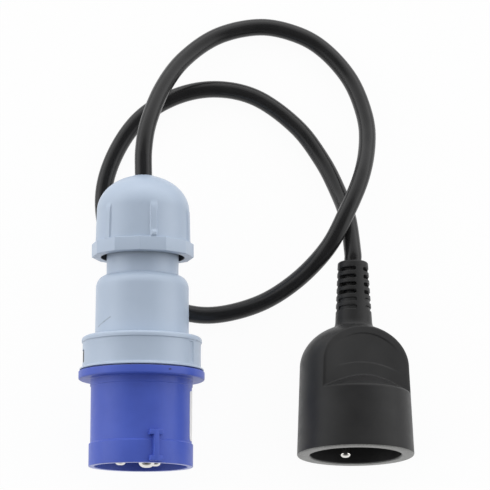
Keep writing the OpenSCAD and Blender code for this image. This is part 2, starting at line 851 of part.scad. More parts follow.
// Floor of the recess with two line holes and the earth pin's hole
module socket_face() {
    color(black) place_socket() difference() {
        translate([0, 0, recess_depth]) cylinder(r = recess_r - pin_fit, h = face_t);
        for (side = [-1, 1]) translate([side * line_spacing / 2, 0, recess_depth - past])
            cylinder(d = line_hole_d, h = face_t + 2 * past);
        translate([0, socket_earth_offset, recess_depth - past])
            cylinder(r = socket_earth_d / 2 + shank_step + pin_fit, h = face_t + 2 * past);
    }
}

// Carrier of the contacts with the shutter's pocket in its front
module contact_block() {
    pocket_u = shutter_u + running;
    channel_u = spring_r + spring_wire_r + running;
    color(dark) place_socket() difference() {
        union() {
            translate([0, 0, shutter_at]) cylinder(r = recess_r - fit, h = block_end - shutter_at);
            for (side = [-1, 1]) translate([side * line_spacing / 2, 0, block_end - sink])
                cylinder(r = tower_r, h = tower_end - block_end + sink);
        }
        translate([-pocket_u, -wedge_n - shutter_travel - running, shutter_at - past])
            cube([2 * pocket_u, 2 * wedge_n + shutter_travel + 2 * running, shutter_deep + past]);
        translate([-channel_u, -wedge_n - shutter_travel - spring_room, shutter_at - past])
            cube([2 * channel_u, wedge_n + shutter_travel + spring_room, shutter_deep + past]);
        for (side = [-1, 1]) translate([side * line_spacing / 2, 0, pocket_end - past])
            cylinder(r = contact_d / 2 + fit, h = contact_l + 2 * past);
        translate([0, socket_earth_offset, shutter_at - past])
            cylinder(r = socket_earth_d / 2 + shank_step + pin_fit, h = block_end);
        translate([0, socket_earth_offset, block_end - earth_head_t])
            cylinder(r = earth_head_r + fit, h = earth_head_t + past);
    }
}

// Male earth pin with a round tip, a head in the block and a strap for its core
module socket_earth_pin() {
    r = socket_earth_d / 2;
    tip_r = r * socket_tip_round;
    color(nickel) place_socket() {
        translate([0, socket_earth_offset, 0]) rotate_extrude() polygon(concat(
            [[0, socket_earth_inset]],
            bow([r - tip_r, socket_earth_inset + tip_r], tip_r, tip_r, -90, 0, 8),
            [[r, recess_depth], [r + shank_step, recess_depth],
             [r + shank_step, block_end - earth_head_t + pin_fit],
             [earth_head_r, block_end - earth_head_t + pin_fit], [earth_head_r, block_end],
             [strap_w / 2 - fit, block_end], [strap_w / 2 - fit, block_end + strap_t / 2],
             [0, block_end + strap_t / 2]]));
        translate([-strap_w / 2, strap_from, block_end])
            cube([strap_w, socket_earth_offset - strap_from + strap_w / 2, strap_t]);
    }
}

// Female contact: a slit tube with a solid tail
module female_contact(side) {
    color(brass) place_socket() translate([side * line_spacing / 2, 0, contact_at]) difference() {
        cylinder(d = contact_d, h = contact_l);
        translate([0, 0, -past]) cylinder(d = contact_bore_d, h = contact_l - contact_tail + past);
        translate([-contact_slit / 2, -contact_d, -past])
            cube([contact_slit, 2 * contact_d, contact_l - 2 * contact_tail + past]);
    }
}

module socket_line_contact() {
    female_contact(-1);
}

module socket_neutral_contact() {
    female_contact(1);
}

// Shutter: two wedges that the plug's pins push aside, joined by a bar with a spring peg
module shutter() {
    front = shutter_at + running;
    back = pocket_end - running;
    peg_r = spring_r - spring_wire_r - running;
    color("gainsboro") place_socket() {
        for (side = [-1, 1]) translate([side * line_spacing / 2 - wedge_w / 2, 0, 0])
            rotate([90, 0, 90]) linear_extrude(wedge_w)
                polygon([[-wedge_n, front], [wedge_n, back], [-wedge_n, back]]);
        spoke_box(line_spacing - wedge_w + 2 * sink, wedge_n - shutter_bar_t, wedge_n,
            shutter_at + shutter_bar_at, back);
        translate([0, -wedge_n + sink, spring_z]) rotate([90, 0, 0])
            cylinder(r = peg_r, h = peg_l + sink);
    }
}

// Compression spring between the shutter and the end of its channel
module shutter_spring() {
    color("silver") place_socket() tube(
        [for (i = [0 : spring_rings])
            let (t = i / spring_rings, turn = 360 * spring_turns * t)
                [spring_r * cos(turn), -spring_from - (spring_to - spring_from) * t,
                 spring_z + spring_r * sin(turn)]],
        spring_wire_r, spring_sides, [0, 1, 0]);
}

// Cores in the socket, from the cable's end to the contacts and the strap
module socket_core(angle, to) {
    place_socket() core(spoke(core_ring_r, angle, sheath_end - fit), to);
}

module socket_brown_core() {
    color("saddlebrown") socket_core(-60, [-line_spacing / 2, 0, contact_end + fit]);
}

module socket_blue_core() {
    color("royalblue") socket_core(60, [line_spacing / 2, 0, contact_end + fit]);
}

module socket_earth_core() {
    color("yellowgreen")
        socket_core(180, [0, strap_from + core_r, block_end + strap_t + fit]);
}

plug_shroud();
pin_carrier();
plug_earth_pin();
plug_line_pin();
plug_neutral_pin();
terminal_screws();
rear_housing();
release_latch();
gland_nut();
gland_washer();
clamp_cage();
gland_seal();
plug_brown_core();
plug_blue_core();
plug_earth_core();
cord();
socket_body();
strain_relief();
socket_face();
contact_block();
socket_earth_pin();
socket_line_contact();
socket_neutral_contact();
shutter();
shutter_spring();
socket_brown_core();
socket_blue_core();
socket_earth_core();
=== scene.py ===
# %% [markdown]
# # A plug adapter lead
# A short black cable joins a round industrial plug to a household socket. The solids come
# from the CAD step at their real size, in metres, and this file dresses them: soft edges,
# moulded plastics, plated metal and a flexible cable, seen from almost straight above.
# Sizes are in millimetres, and a value that was multiplied by MM is in metres, as Blender
# wants it.

# %% Load the solids
import json
import math

import bpy
from mathutils import Matrix, Vector


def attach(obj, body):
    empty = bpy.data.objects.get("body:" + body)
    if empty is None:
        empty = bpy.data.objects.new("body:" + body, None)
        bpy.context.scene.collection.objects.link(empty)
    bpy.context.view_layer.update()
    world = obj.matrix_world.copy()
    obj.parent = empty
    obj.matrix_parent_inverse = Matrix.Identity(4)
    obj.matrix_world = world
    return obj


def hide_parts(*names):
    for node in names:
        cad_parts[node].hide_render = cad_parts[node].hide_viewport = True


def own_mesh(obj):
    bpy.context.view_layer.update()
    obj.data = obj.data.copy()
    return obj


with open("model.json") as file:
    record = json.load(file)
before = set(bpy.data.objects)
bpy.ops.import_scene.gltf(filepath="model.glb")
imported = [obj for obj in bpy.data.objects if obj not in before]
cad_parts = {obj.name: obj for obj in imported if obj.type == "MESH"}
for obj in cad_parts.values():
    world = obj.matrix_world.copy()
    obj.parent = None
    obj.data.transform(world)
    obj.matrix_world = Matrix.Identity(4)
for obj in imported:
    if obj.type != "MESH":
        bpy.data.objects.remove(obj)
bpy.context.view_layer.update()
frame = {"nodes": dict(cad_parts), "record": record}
nodes = frame["nodes"]
MM = 0.001

# %% [markdown]
# ## Camera
# The photograph looks down on the lead from a little in front of it, with a long lens, so
# the ends of both connectors show only as thin ellipses. A camera that points straight down
# and leans back by a few degrees gives the same view. It comes first, with the cable,
# because everything else is judged through it.

# %% Camera
VIEW_DISTANCE, VIEW_FAR = 1.3, 20  # metres
VIEW_LEAN = math.radians(12.1)
VIEW_TARGET = Vector((-0.46, 40.4, 0)) * MM
PIXEL = 0.448 * MM
PICTURE_WIDTH = 490
SENSOR_WIDTH = 36

bpy.ops.object.select_all(action="DESELECT")
looking = Vector((0, math.sin(VIEW_LEAN), -math.cos(VIEW_LEAN)))
bpy.ops.object.camera_add(
    location=VIEW_TARGET - looking * VIEW_DISTANCE, rotation=(VIEW_LEAN, 0, 0)
)
camera = bpy.context.object
camera.name = "camera"
camera.data.sensor_width = SENSOR_WIDTH
camera.data.lens = SENSOR_WIDTH * VIEW_DISTANCE / (PIXEL * PICTURE_WIDTH)
camera.data.clip_end = VIEW_FAR
bpy.context.scene.camera = camera
bpy.context.scene.view_settings.view_transform = "Standard"
print("lens", round(camera.data.lens, 1), "mm")

# %% [markdown]
# ## Where the two ends lie
# Both connectors are round, and both lie on the table on their widest rings, so each axis
# leans a little. A connector is easiest to model upright, round its own axis with the open
# rim at zero, and to lay down afterwards. One matrix per connector does that: it turns the
# piece, lays it over and carries it to its place.

# %% Places of the plug and the socket
def turned(axis, degrees):
    return Matrix.Rotation(math.radians(degrees), 4, axis)


def lying(x, y, z, pitch, yaw, roll):
    """Matrix from an upright connector, in metres, to the place where it lies."""
    return (
        Matrix.Translation(Vector((x, y, z)) * MM)
        @ turned("Z", yaw) @ turned("X", pitch - 90) @ turned("Z", roll)
    )


plug_place = lying(x=-45.5, y=-63.2, z=25.797, pitch=2.4, yaw=-0.2, roll=18)
socket_place = lying(x=47.4, y=-58.3, z=25.378, pitch=-2.374, yaw=0.3, roll=24)


def plug_point(along):
    return plug_place @ Vector((0, 0, along * MM))


def socket_point(along):
    return socket_place @ Vector((0, 0, along * MM))


print("rims at", [round(v, 4) for v in plug_point(0)], [round(v, 4) for v in socket_point(0)])

# %% [markdown]
# ## Cable
# The cable is round, almost eight millimetres thick and sixty-five centimetres long, all of
# it in view. It leaves the gland straight, comes down to the table in a wide arc, climbs over
# itself in a low hump, dips under the plug, and rises again into the socket's sleeve. A curve
# with a round bevel would do, but a mesh tube carries its own map of length and girth, which
# the sheath's texture follows. A curve is therefore drawn first and then made a mesh.

# %% Cable route
CABLE_RADIUS = 3.8 * MM
SHEATH_START, CAGE_END, NUT_END, STRAIGHT_OUT = 100.5, 116, 128, 12
SLEEVE_START, SLEEVE_END, SLEEVE_OUT, SHEATH_END = 56.718, 86.118, 5, 48.2
ROUTE = [
    (-43, 90, 29), (-37, 107.5, 22), (-27.5, 123, 14), (-12.5, 135.5, 7.5), (6.5, 140.5, 4.5),
    (23.5, 137, 4), (36, 129, 4.5), (47, 115, 6.5), (53, 98, 11), (54, 83.5, 16),
    (51, 66.5, 23), (44, 49, 26.5), (35.5, 33.5, 24), (21.5, 20.5, 15), (4.5, 11.5, 8),
    (-16.5, 7.5, 4.5), (-35, 11.5, 4), (-49.5, 21.5, 4), (-60, 39, 4), (-64, 59.5, 4),
    (-60, 78.5, 4), (-49, 96.5, 4), (-33, 107.5, 4), (-14.5, 111.5, 4), (4.5, 107.5, 4),
    (22.5, 94, 4.5), (34, 78, 6), (41, 62.5, 10.5), (45, 49, 17),
]
ROUTE_STEPS = 10


def blend_points(p, q, r, s, t):
    """Point on a smooth curve through q and r, which p and s guide."""
    return 0.5 * (
        2 * q + (r - p) * t + (2 * p - 5 * q + 4 * r - s) * t * t
        + (3 * q - p - 3 * r + s) * t * t * t
    )


stations = (
    [plug_point(s) for s in (SHEATH_START, CAGE_END, NUT_END, NUT_END + STRAIGHT_OUT)]
    + [Vector(p) * MM for p in ROUTE]
    + [socket_point(s) for s in (
        SLEEVE_END + SLEEVE_OUT, SLEEVE_END, (SLEEVE_START + SLEEVE_END) / 2, SHEATH_END)]
)
last = len(stations) - 1
cable_path = [
    blend_points(stations[max(i - 1, 0)], stations[i], stations[i + 1],
                 stations[min(i + 2, last)], k / ROUTE_STEPS)
    for i in range(last) for k in range(ROUTE_STEPS)
] + [stations[last]]

# %% Cable tube
CABLE_ROUNDNESS = 8
SMOOTH_UNDER = math.radians(35)


def only(piece):
    """Select one object alone and make it the active one."""
    bpy.ops.object.select_all(action="DESELECT")
    piece.select_set(True)
    bpy.context.view_layer.objects.active = piece


cable_curve = bpy.data.curves.new("cable_line", "CURVE")
cable_curve.dimensions = "3D"
cable_curve.twist_mode = "MINIMUM"
cable_curve.bevel_depth = CABLE_RADIUS
cable_curve.bevel_resolution = CABLE_ROUNDNESS
cable_curve.use_fill_caps = True
spline = cable_curve.splines.new("POLY")
spline.points.add(len(cable_path) - 1)
for point, place in zip(spline.points, cable_path):
    point.co = (*place, 1)
cable = bpy.data.objects.new("cable", cable_curve)
bpy.context.collection.objects.link(cable)
only(cable)
bpy.ops.object.convert(target="MESH")
cable = bpy.context.object
bpy.ops.object.shade_smooth_by_angle(angle=SMOOTH_UNDER)
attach(cable, "lead")
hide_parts("cord")
print("cable faces", len(cable.data.polygons), "maps", [m.name for m in cable.data.uv_layers])

# %% [markdown]
# ## Turning a profile
# Nearly every piece here is moulded or turned round an axis, so one tool makes most of them:
# half a cross-section, drawn as a chain of extruded points and carried round the axis by a
# Screw modifier. The spin operator gives the same mesh, but takes far longer at many steps.
# Every ring lies where the profile says, so a rule can then push single points out or in, for
# ribs, flats and slots. Sharp corners catch no light, so they are rounded in the profile.

# %% Rounded profile
CORNER_STEPS = 5


def rounded(outline):
    """Profile points (radius, along, corner) in mm, with an arc at each corner above zero."""
    points = []
    for i, (r, along, corner) in enumerate(outline):
        here = Vector((r, along))
        if corner == 0:
            points.append(here)
            continue
        before = (Vector(outline[i - 1][:2]) - here).normalized()
        after = (Vector(outline[(i + 1) % len(outline)][:2]) - here).normalized()
        half = before.angle(after) / 2
        middle = here + (before + after).normalized() * corner / math.sin(half)
        reach = corner / math.tan(half)
        first, final = here + before * reach - middle, here + after * reach - middle
        for k in range(CORNER_STEPS + 1):
            points.append(middle + first.slerp(final, k / CORNER_STEPS).normalized() * corner)
    return points


def arc(middle, across, along, start, end, steps):
    """Points of an ellipse's arc as corners of a profile, angles in degrees."""
    turns = [math.radians(start + (end - start) * k / steps) for k in range(steps + 1)]
    return [(middle[0] + across * math.cos(t), middle[1] + along * math.sin(t), 0) for t in turns]


def rows(start, end, step):
    """Corners on a straight line of a profile, no more than a step apart."""
    count = max(1, math.ceil((Vector(end) - Vector(start)).length / step))
    return [(*Vector(start).lerp(Vector(end), k / count), 0) for k in range(count + 1)]


print("corner of one millimetre:", len(rounded([(0, 0, 0), (9, 0, 1), (9, 9, 0)])), "points")

# %% Spin a profile
MERGE = 0.002 * MM


def spun(name, outline, place, steps, sweep=360, rule=None):
    """Mesh of a closed profile spun round its axis. A rule moves (radius, angle, along)."""
    corners = [Vector((p.x, 0, p.y)) * MM for p in rounded(outline)]
    bpy.ops.object.select_all(action="DESELECT")
    bpy.ops.mesh.primitive_plane_add(size=MM)
    piece = bpy.context.object
    piece.name = name
    bpy.ops.object.mode_set(mode="EDIT")
    bpy.ops.mesh.select_all(action="SELECT")
    bpy.ops.mesh.merge(type="CENTER")
    bpy.ops.transform.translate(value=corners[0])
    for here, after in zip(corners, corners[1:] + corners[:1]):
        bpy.ops.mesh.extrude_region_move(TRANSFORM_OT_translate={"value": after - here})
    bpy.ops.object.mode_set(mode="OBJECT")
    turn = piece.modifiers.new("turn", "SCREW")
    turn.axis, turn.angle = "Z", math.radians(sweep)
    turn.steps = turn.render_steps = steps
    bpy.ops.object.modifier_apply(modifier=turn.name)
    if rule:
        follow(piece.data, rule, sweep)
    close(piece)
    set_down(piece, place)
    return piece


def follow(mesh, rule, sweep):
    """Move points by a rule. The angle is zero at the top, or in the middle of a part turn."""
    angles = [math.degrees(math.atan2(v.co.x, -v.co.y)) for v in mesh.vertices]
    middle = (min(angles) + max(angles)) / 2 if sweep < 360 else 0
    for vertex, angle in zip(mesh.vertices, angles):
        r, a, along = rule(
            math.hypot(vertex.co.x, vertex.co.y) / MM, angle - middle, vertex.co.z / MM)
        a = math.radians(a)
        vertex.co = Vector((r * math.sin(a), -r * math.cos(a), along)) * MM


def close(piece):
    """Merge the seam of a turned mesh and point all its faces outwards."""
    bpy.ops.object.mode_set(mode="EDIT")
    bpy.ops.mesh.select_all(action="SELECT")
    bpy.ops.mesh.remove_doubles(threshold=MERGE)
    bpy.ops.mesh.dissolve_degenerate(threshold=MERGE)
    bpy.ops.mesh.select_all(action="SELECT")
    bpy.ops.mesh.normals_make_consistent(inside=False)
    bpy.ops.object.mode_set(mode="OBJECT")


def set_down(piece, place):
    """Carry a piece to its place and keep that place in the mesh."""
    piece.matrix_world = place
    bpy.ops.object.transform_apply(location=True, rotation=True, scale=True)


print("points closer than", round(MERGE / MM, 3), "mm become one")

# %% Blocks, cuts and the end of each piece
BLOCK_EDGE_STEPS = 3
finish_of = {cable: "sheath_black"}


def block(width, inner, outer, start, end, place, soft=0):
    """Box in mm that stands out from the axis towards the top, with soft edges."""
    bpy.ops.object.select_all(action="DESELECT")
    bpy.ops.mesh.primitive_cube_add(size=1)
    piece = bpy.context.object
    piece.scale = Vector((width, outer - inner, end - start)) * MM
    piece.location = Vector((0, -(inner + outer) / 2, (start + end) / 2)) * MM
    bpy.ops.object.transform_apply(location=True, rotation=True, scale=True)
    if soft:
        bpy.ops.object.mode_set(mode="EDIT")
        bpy.ops.mesh.select_all(action="SELECT")
        bpy.ops.mesh.bevel(offset=soft * MM, segments=BLOCK_EDGE_STEPS, affect="EDGES")
        bpy.ops.object.mode_set(mode="OBJECT")
    set_down(piece, place)
    return piece


def combine(piece, tool, operation="DIFFERENCE"):
    """Cut a tool out of a piece, or add it, and remove the tool."""
    only(piece)
    form = piece.modifiers.new("form", "BOOLEAN")
    form.object, form.operation, form.solver = tool, operation, "EXACT"
    bpy.ops.object.modifier_apply(modifier=form.name)
    bpy.data.objects.remove(tool, do_unlink=True)


def done(piece, body, slot, *replaced):
    """Smooth the soft edges, keep the sharp ones, and hand the piece to its body."""
    only(piece)
    bpy.ops.object.shade_smooth_by_angle(angle=SMOOTH_UNDER)
    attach(piece, body)
    finish_of[piece] = slot
    if replaced:
        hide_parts(*replaced)
    print(piece.name, "has", len(piece.data.polygons), "faces")


print("pieces so far:", [piece.name for piece in finish_of])

# %% [markdown]
# ## Blue shroud
# The front of the plug is a blue moulded tube that guards three pins. It has a thicker band
# at its rim, a low ring and a wide flange at its back, and inside it a ledge for the pin
# carrier. A tube primitive with added rings would need many cuts, so the whole wall is one
# profile. The I-shaped key on the rim fits a notch in the mating socket. It is built from
# soft blocks and joined to the wall.

# %% Shroud wall
BORE_R, WALL_R, BAND_R, RING_R, FLANGE_R = 20.15, 21.95, 22.6, 22.25, 27.4
BAND_END, RING_START, FLANGE_START, FLANGE_END = 9.7, 34.6, 37.7, 41.2
JOIN_R, JOIN_AT, SPIGOT_END = 24.5, 41.5, 47.9
LEDGE_R, LEDGE_START, LEDGE_END = 18.15, 36.2, 38.2
BAND_SLOPE, RING_SLOPE = 0.5, 0.25
shroud = spun("shroud", [
    (BORE_R, 0, 0.25), (BAND_R, 0, 0.3), (BAND_R, BAND_END, 0.35),
    (WALL_R, BAND_END + BAND_SLOPE, 0.2), (WALL_R, RING_START, 0.15),
    (RING_R, RING_START + RING_SLOPE, 0.15), (RING_R, FLANGE_START, 0.6),
    (FLANGE_R, FLANGE_START, 0.7), (FLANGE_R, FLANGE_END, 0.25),
    (JOIN_R, FLANGE_END, 0), (JOIN_R, JOIN_AT, 0), (WALL_R, JOIN_AT, 0),
    (WALL_R, SPIGOT_END, 0.3), (BORE_R, SPIGOT_END, 0.3),
    (BORE_R, LEDGE_END, 0), (LEDGE_R, LEDGE_END, 0), (LEDGE_R, LEDGE_START, 0.3),
    (BORE_R, LEDGE_START, 0.3),
], plug_place, steps=240)
print("shroud wall of", round(WALL_R - BORE_R, 2), "mm")

# %% Key
KEY_ROOT, KEY_FACE, KEY_SOFT, HAIR = 21, 24.8, 0.3, 0.01
KEY_START, KEY_END, KEY_STEM, KEY_BAR, KEY_BAR_LENGTH = 0.6, 14, 2.4, 5.8, 2.2
key = block(KEY_STEM, KEY_ROOT, KEY_FACE, KEY_START, KEY_END, plug_place, KEY_SOFT)
for start in (KEY_START, KEY_END - KEY_BAR_LENGTH):
    # Faces that lie in one plane would confuse the joining, so the bars differ by a hair.
    bar = block(KEY_BAR, KEY_ROOT, KEY_FACE - 2 * HAIR, start - HAIR,
                start + KEY_BAR_LENGTH + HAIR, plug_place, KEY_SOFT)
    combine(key, bar, "UNION")
combine(shroud, key, "UNION")
done(shroud, "lead", "blue_plastic", "plug_shroud")

# %% [markdown]
# ## Label
# A thin white film is stuck on the right of the shroud. It could be painted by a material,
# but its edge has a thickness that shows against the light. A flat sheet with round corners
# is cut into strips, rolled onto the tube and given a thickness.

# %% Flat label
LABEL_ARC, LABEL_START, LABEL_END, LABEL_CORNER = (56, 122), 10.9, 32.6, 1.5
LABEL_INNER, LABEL_THICK, LABEL_STRIPS, LABEL_CORNER_STEPS = 21.96, 0.12, 33, 6
label_turn = math.radians(LABEL_ARC[1] - LABEL_ARC[0])
label_width = LABEL_INNER * MM * label_turn
bpy.ops.object.select_all(action="DESELECT")
bpy.ops.mesh.primitive_plane_add(size=1)
label = bpy.context.object
label.name = "label"
label.scale = Vector((label_width, (LABEL_END - LABEL_START) * MM, MM))
bpy.ops.object.transform_apply(location=True, rotation=True, scale=True)
bpy.ops.object.mode_set(mode="EDIT")
bpy.ops.mesh.select_all(action="SELECT")
bpy.ops.mesh.bevel(offset=LABEL_CORNER * MM, segments=LABEL_CORNER_STEPS, affect="VERTICES")
for k in range(1, LABEL_STRIPS):
    bpy.ops.mesh.select_all(action="SELECT")
    bpy.ops.mesh.bisect(
        plane_co=(label_width * (k / LABEL_STRIPS - 0.5), 0, 0), plane_no=(1, 0, 0))
bpy.ops.object.mode_set(mode="OBJECT")
print("flat label", round(label_width / MM, 1), "mm wide")

# %% Rolled label
label_middle = math.radians(sum(LABEL_ARC) / 2)
for vertex in label.data.vertices:
    turn = label_middle + vertex.co.x / (LABEL_INNER * MM)
    along = (LABEL_START + LABEL_END) / 2 * MM + vertex.co.y
    vertex.co = (
        LABEL_INNER * MM * math.sin(turn), -LABEL_INNER * MM * math.cos(turn), along)
film = label.modifiers.new("film", "SOLIDIFY")
film.thickness, film.offset = LABEL_THICK * MM, 1
bpy.ops.object.modifier_apply(modifier=film.name)
close(label)
set_down(label, plug_place)
done(label, "lead", "shutter_white")
print("label radius", round(max(
    math.hypot(*(plug_place.inverted() @ v.co).xy) for v in label.data.vertices) / MM, 2), "mm")

# %% [markdown]
# ## Plug pins
# Three pins stand in the shroud: a thick one for earth and two thinner ones, all turned from
# brass rod and nickel plated. Behind the carrier each becomes a barrel with a wire hole and a
# screw. A cylinder primitive has a flat tip and no step, so each pin is a spun profile with a
# round tip. The screw's hole is cut across it.

# %% Plug pins
PIN_CIRCLE, PIN_ROOT, CARRIER_BACK, BARREL_END = 9.1, 37, 48.05, 60
WIRE_HOLE, WIRE_HOLE_END, SCREW_HOLE, SCREW_AT = 1.4, 51, 1.55, 54
TIP_SHARE, TIP_STEPS, SHANK_STEP = 0.75, 10, 0.4


def tip(r, at):
    """Round tip of a pin, from its middle to its side."""
    bend = r * TIP_SHARE
    return [(0, at, 0)] + arc((r - bend, at + bend), bend, bend, -90, 0, TIP_STEPS)


def plug_pin(name, replaced, angle, r, at, barrel):
    """Pin of a radius that starts at a place along the plug, with a barrel of its own radius."""
    place = plug_place @ turned("Z", angle) @ Matrix.Translation((0, -PIN_CIRCLE * MM, 0))
    pin = spun(name, tip(r, at) + [
        (r, PIN_ROOT, 0), (r + SHANK_STEP, PIN_ROOT, 0), (r + SHANK_STEP, CARRIER_BACK, 0),
        (barrel, CARRIER_BACK, 0.3), (barrel, BARREL_END, 0.5), (WIRE_HOLE, BARREL_END, 0.3),
        (WIRE_HOLE, WIRE_HOLE_END, 0), (0, WIRE_HOLE_END, 0),
    ], place, steps=72)
    across = place @ Matrix.Translation((0, 0, SCREW_AT * MM)) @ turned("X", 90)
    hole = spun("hole", [
        (0, 0, 0), (SCREW_HOLE, 0, 0), (SCREW_HOLE, 2 * barrel, 0), (0, 2 * barrel, 0),
    ], across, steps=36)
    combine(pin, hole)
    done(pin, "lead", "nickel_plate", replaced)


plug_pin("earth_prong", "plug_earth_pin", angle=0, r=3.5, at=-1, barrel=4.7)
plug_pin("line_prong", "plug_line_pin", angle=-120, r=2.5, at=1, barrel=3.8)
plug_pin("neutral_prong", "plug_neutral_pin", angle=120, r=2.5, at=1, barrel=3.8)

# %% [markdown]
# ## Grey housing
# The rear half is a light grey moulding: a skirt that matches the blue flange, with a lip in
# front and a round bead behind, a long body with a soft shoulder, and the neck that the gland
# screws onto. It is hollow for the wires. Stacked tubes would show where they meet, so one
# profile gives all of it. A window for the release button and a shallow groove are then cut
# into the skirt.

# %% Housing wall
LIP_R, SKIRT_R, BEAD_R, BODY_R, BODY_END_R, NECK_R = 27, 25.7, 26.15, 20.4, 20.25, 15.7
LIP_START, LIP_END, BEAD_START, BEAD_SLOPE, BEAD_END = 41.8, 42.5, 53.7, 0.3, 56.3
BODY_END, NECK_START, NECK_END = 76.8, 83.2, 105.5
SHOULDER_ACROSS, SHOULDER_ALONG, SHOULDER_STEPS = 4.35, 5.4, 14
SEAT_R, SEAT_END, THROAT_R, THROAT_END = 9.6, 101.5, 8.1, 80.8
HOLLOW_R, HOLLOW_START, HOLLOW_END, SPIGOT_R = 17.85, 48, 75.4, 22.05
shoulder_middle = (BODY_END_R - SHOULDER_ACROSS, NECK_START - SHOULDER_ALONG)
housing = spun("housing", [
    (SPIGOT_R, JOIN_AT, 0), (JOIN_R, JOIN_AT, 0), (JOIN_R, LIP_START, 0),
    (LIP_R, LIP_START, 0.2), (LIP_R, LIP_END, 0.25), (SKIRT_R, LIP_END, 1),
    (SKIRT_R, BEAD_START, 0.25), (BEAD_R, BEAD_START + BEAD_SLOPE, 0.2), (BEAD_R, BEAD_END, 1.4),
    (BODY_R, BEAD_END, 0.5), (BODY_END_R, BODY_END, 0),
] + arc(shoulder_middle, SHOULDER_ACROSS, SHOULDER_ALONG, 0, 90, SHOULDER_STEPS) + [
    (NECK_R, NECK_START, 0), (NECK_R, NECK_END, 0.5), (SEAT_R, NECK_END, 0),
    (SEAT_R, SEAT_END, 0), (THROAT_R, SEAT_END, 0), (THROAT_R, THROAT_END, 0),
    (HOLLOW_R, HOLLOW_END, 0), (HOLLOW_R, HOLLOW_START, 0), (SPIGOT_R, HOLLOW_START, 0),
], plug_place, steps=240)
print("housing from", JOIN_AT, "to", NECK_END, "mm")

# %% Window and groove
LATCH_ANGLE, WINDOW_WIDTH, WINDOW_START, WINDOW_END = -102, 9, 44.7, 50.3
WINDOW_FLOOR, EAR_ROOM_WIDTH, EAR_ROOM_TOP = 21.75, 11, 23.85
GROOVE_ANGLE, GROOVE_WIDTH, GROOVE_FLOOR, GROOVE_SOFT = 40, 3.4, 25.3, 0.3
GROOVE_START, GROOVE_END = 44, 53.1
latch_place = plug_place @ turned("Z", LATCH_ANGLE)
for width, top in ((WINDOW_WIDTH, LIP_R), (EAR_ROOM_WIDTH, EAR_ROOM_TOP)):
    combine(housing, block(width, WINDOW_FLOOR, top, WINDOW_START, WINDOW_END, latch_place))
groove_place = plug_place @ turned("Z", GROOVE_ANGLE)
combine(housing, block(GROOVE_WIDTH, GROOVE_FLOOR, LIP_R, GROOVE_START, GROOVE_END,
                       groove_place, GROOVE_SOFT))
done(housing, "lead", "grey_plastic", "rear_housing")

# %% [markdown]
# ## Release button
# In the window of the skirt sits a small dark button. Pressing it lets the two halves of the
# plug twist apart. It has two ears behind the window that keep it in. It could be cut out of
# one block, but two soft blocks, joined, give the button and its ears with fewer steps.

# %% Button
BUTTON_PLAY, BUTTON_FLOOR, BUTTON_TOP, BUTTON_SOFT = 0.3, 22.95, 25.4, 0.35
EAR_TOP, EAR_SOFT = 23.75, 0.2
button_start, button_end = WINDOW_START + BUTTON_PLAY, WINDOW_END - BUTTON_PLAY
button = block(WINDOW_WIDTH - 2 * BUTTON_PLAY, BUTTON_FLOOR, BUTTON_TOP, button_start, button_end,
               latch_place, BUTTON_SOFT)
ears = block(EAR_ROOM_WIDTH - 2 * BUTTON_PLAY, BUTTON_FLOOR, EAR_TOP, button_start, button_end,
             latch_place, EAR_SOFT)
combine(button, ears, "UNION")
button.name = "release_button"
done(button, "release_latch", "dark_plastic", "release_latch")

# %% [markdown]
# ## Gland nut
# The domed nut squeezes a rubber sleeve round the cable. It is turned by hand or by spanner:
# the collar has twelve flats and the side has six low ribs, the first of them with a small
# nub. Flats and ribs could be cut with tools, but on a spun mesh a rule does it with softer
# edges: it draws the collar's rings in between its corners and lifts the points under a rib.

# %% Rules for the nut
COLLAR_START, COLLAR_END, COLLAR_R, COLLAR_FROM_R = 91.6, 97.7, 22.3, 20.8
COLLAR_ANGLE, COLLAR_SIDES, NUT_OUTSIDE_R, EDGE_MARGIN = 11, 12, 16.5, 0.1
RIB_ANGLE, RIB_COUNT, RIB_HALF, RIB_HEIGHT, RIB_FADE = -3, 6, 1.5, 0.7, (110.6, 113.6)
NUB_HALF, NUB_RISE, NUB_FALL, NUB_HEIGHT, RIB_SOFT = 1, (97.8, 98.6), (99.3, 101), 0.6, 0.7


def eased(value, low, high):
    """Smooth step from zero at low to one at high."""
    t = max(0, min(1, (value - low) / (high - low)))
    return t * t * (3 - 2 * t)


def nut_form(r, angle, along):
    """Flats on the collar, ribs on the side above it, and the nub at the foot of one rib."""
    if r > COLLAR_FROM_R and along < COLLAR_END + EDGE_MARGIN:
        half = 180 / COLLAR_SIDES
        off = (angle - COLLAR_ANGLE) % (2 * half) - half
        r *= math.cos(math.radians(half)) / math.cos(math.radians(off))
    elif r > NUT_OUTSIDE_R and along > COLLAR_END - 2 * EDGE_MARGIN:
        step = 360 / RIB_COUNT
        off = (angle - RIB_ANGLE + step / 2) % step - step / 2
        away = abs(math.radians(off)) * r
        side = eased(away, RIB_HALF + RIB_SOFT / 2, RIB_HALF - RIB_SOFT / 2)
        r += RIB_HEIGHT * side * eased(along, RIB_FADE[1], RIB_FADE[0])
        if abs(angle - RIB_ANGLE) < step / 2:
            r += (NUB_HEIGHT * eased(away, NUB_HALF + RIB_SOFT / 2, NUB_HALF - RIB_SOFT / 2)
                  * eased(along, *NUB_RISE) * eased(along, *reversed(NUB_FALL)))
    return r, angle, along


DOME_R, DOME_START, DOME_HEIGHT, DOME_TURN, DOME_STEPS = 20.25, 112, 16, 72, 30
print("rib adds", round(nut_form(DOME_R, RIB_ANGLE, 105)[0] - DOME_R, 2), "mm")

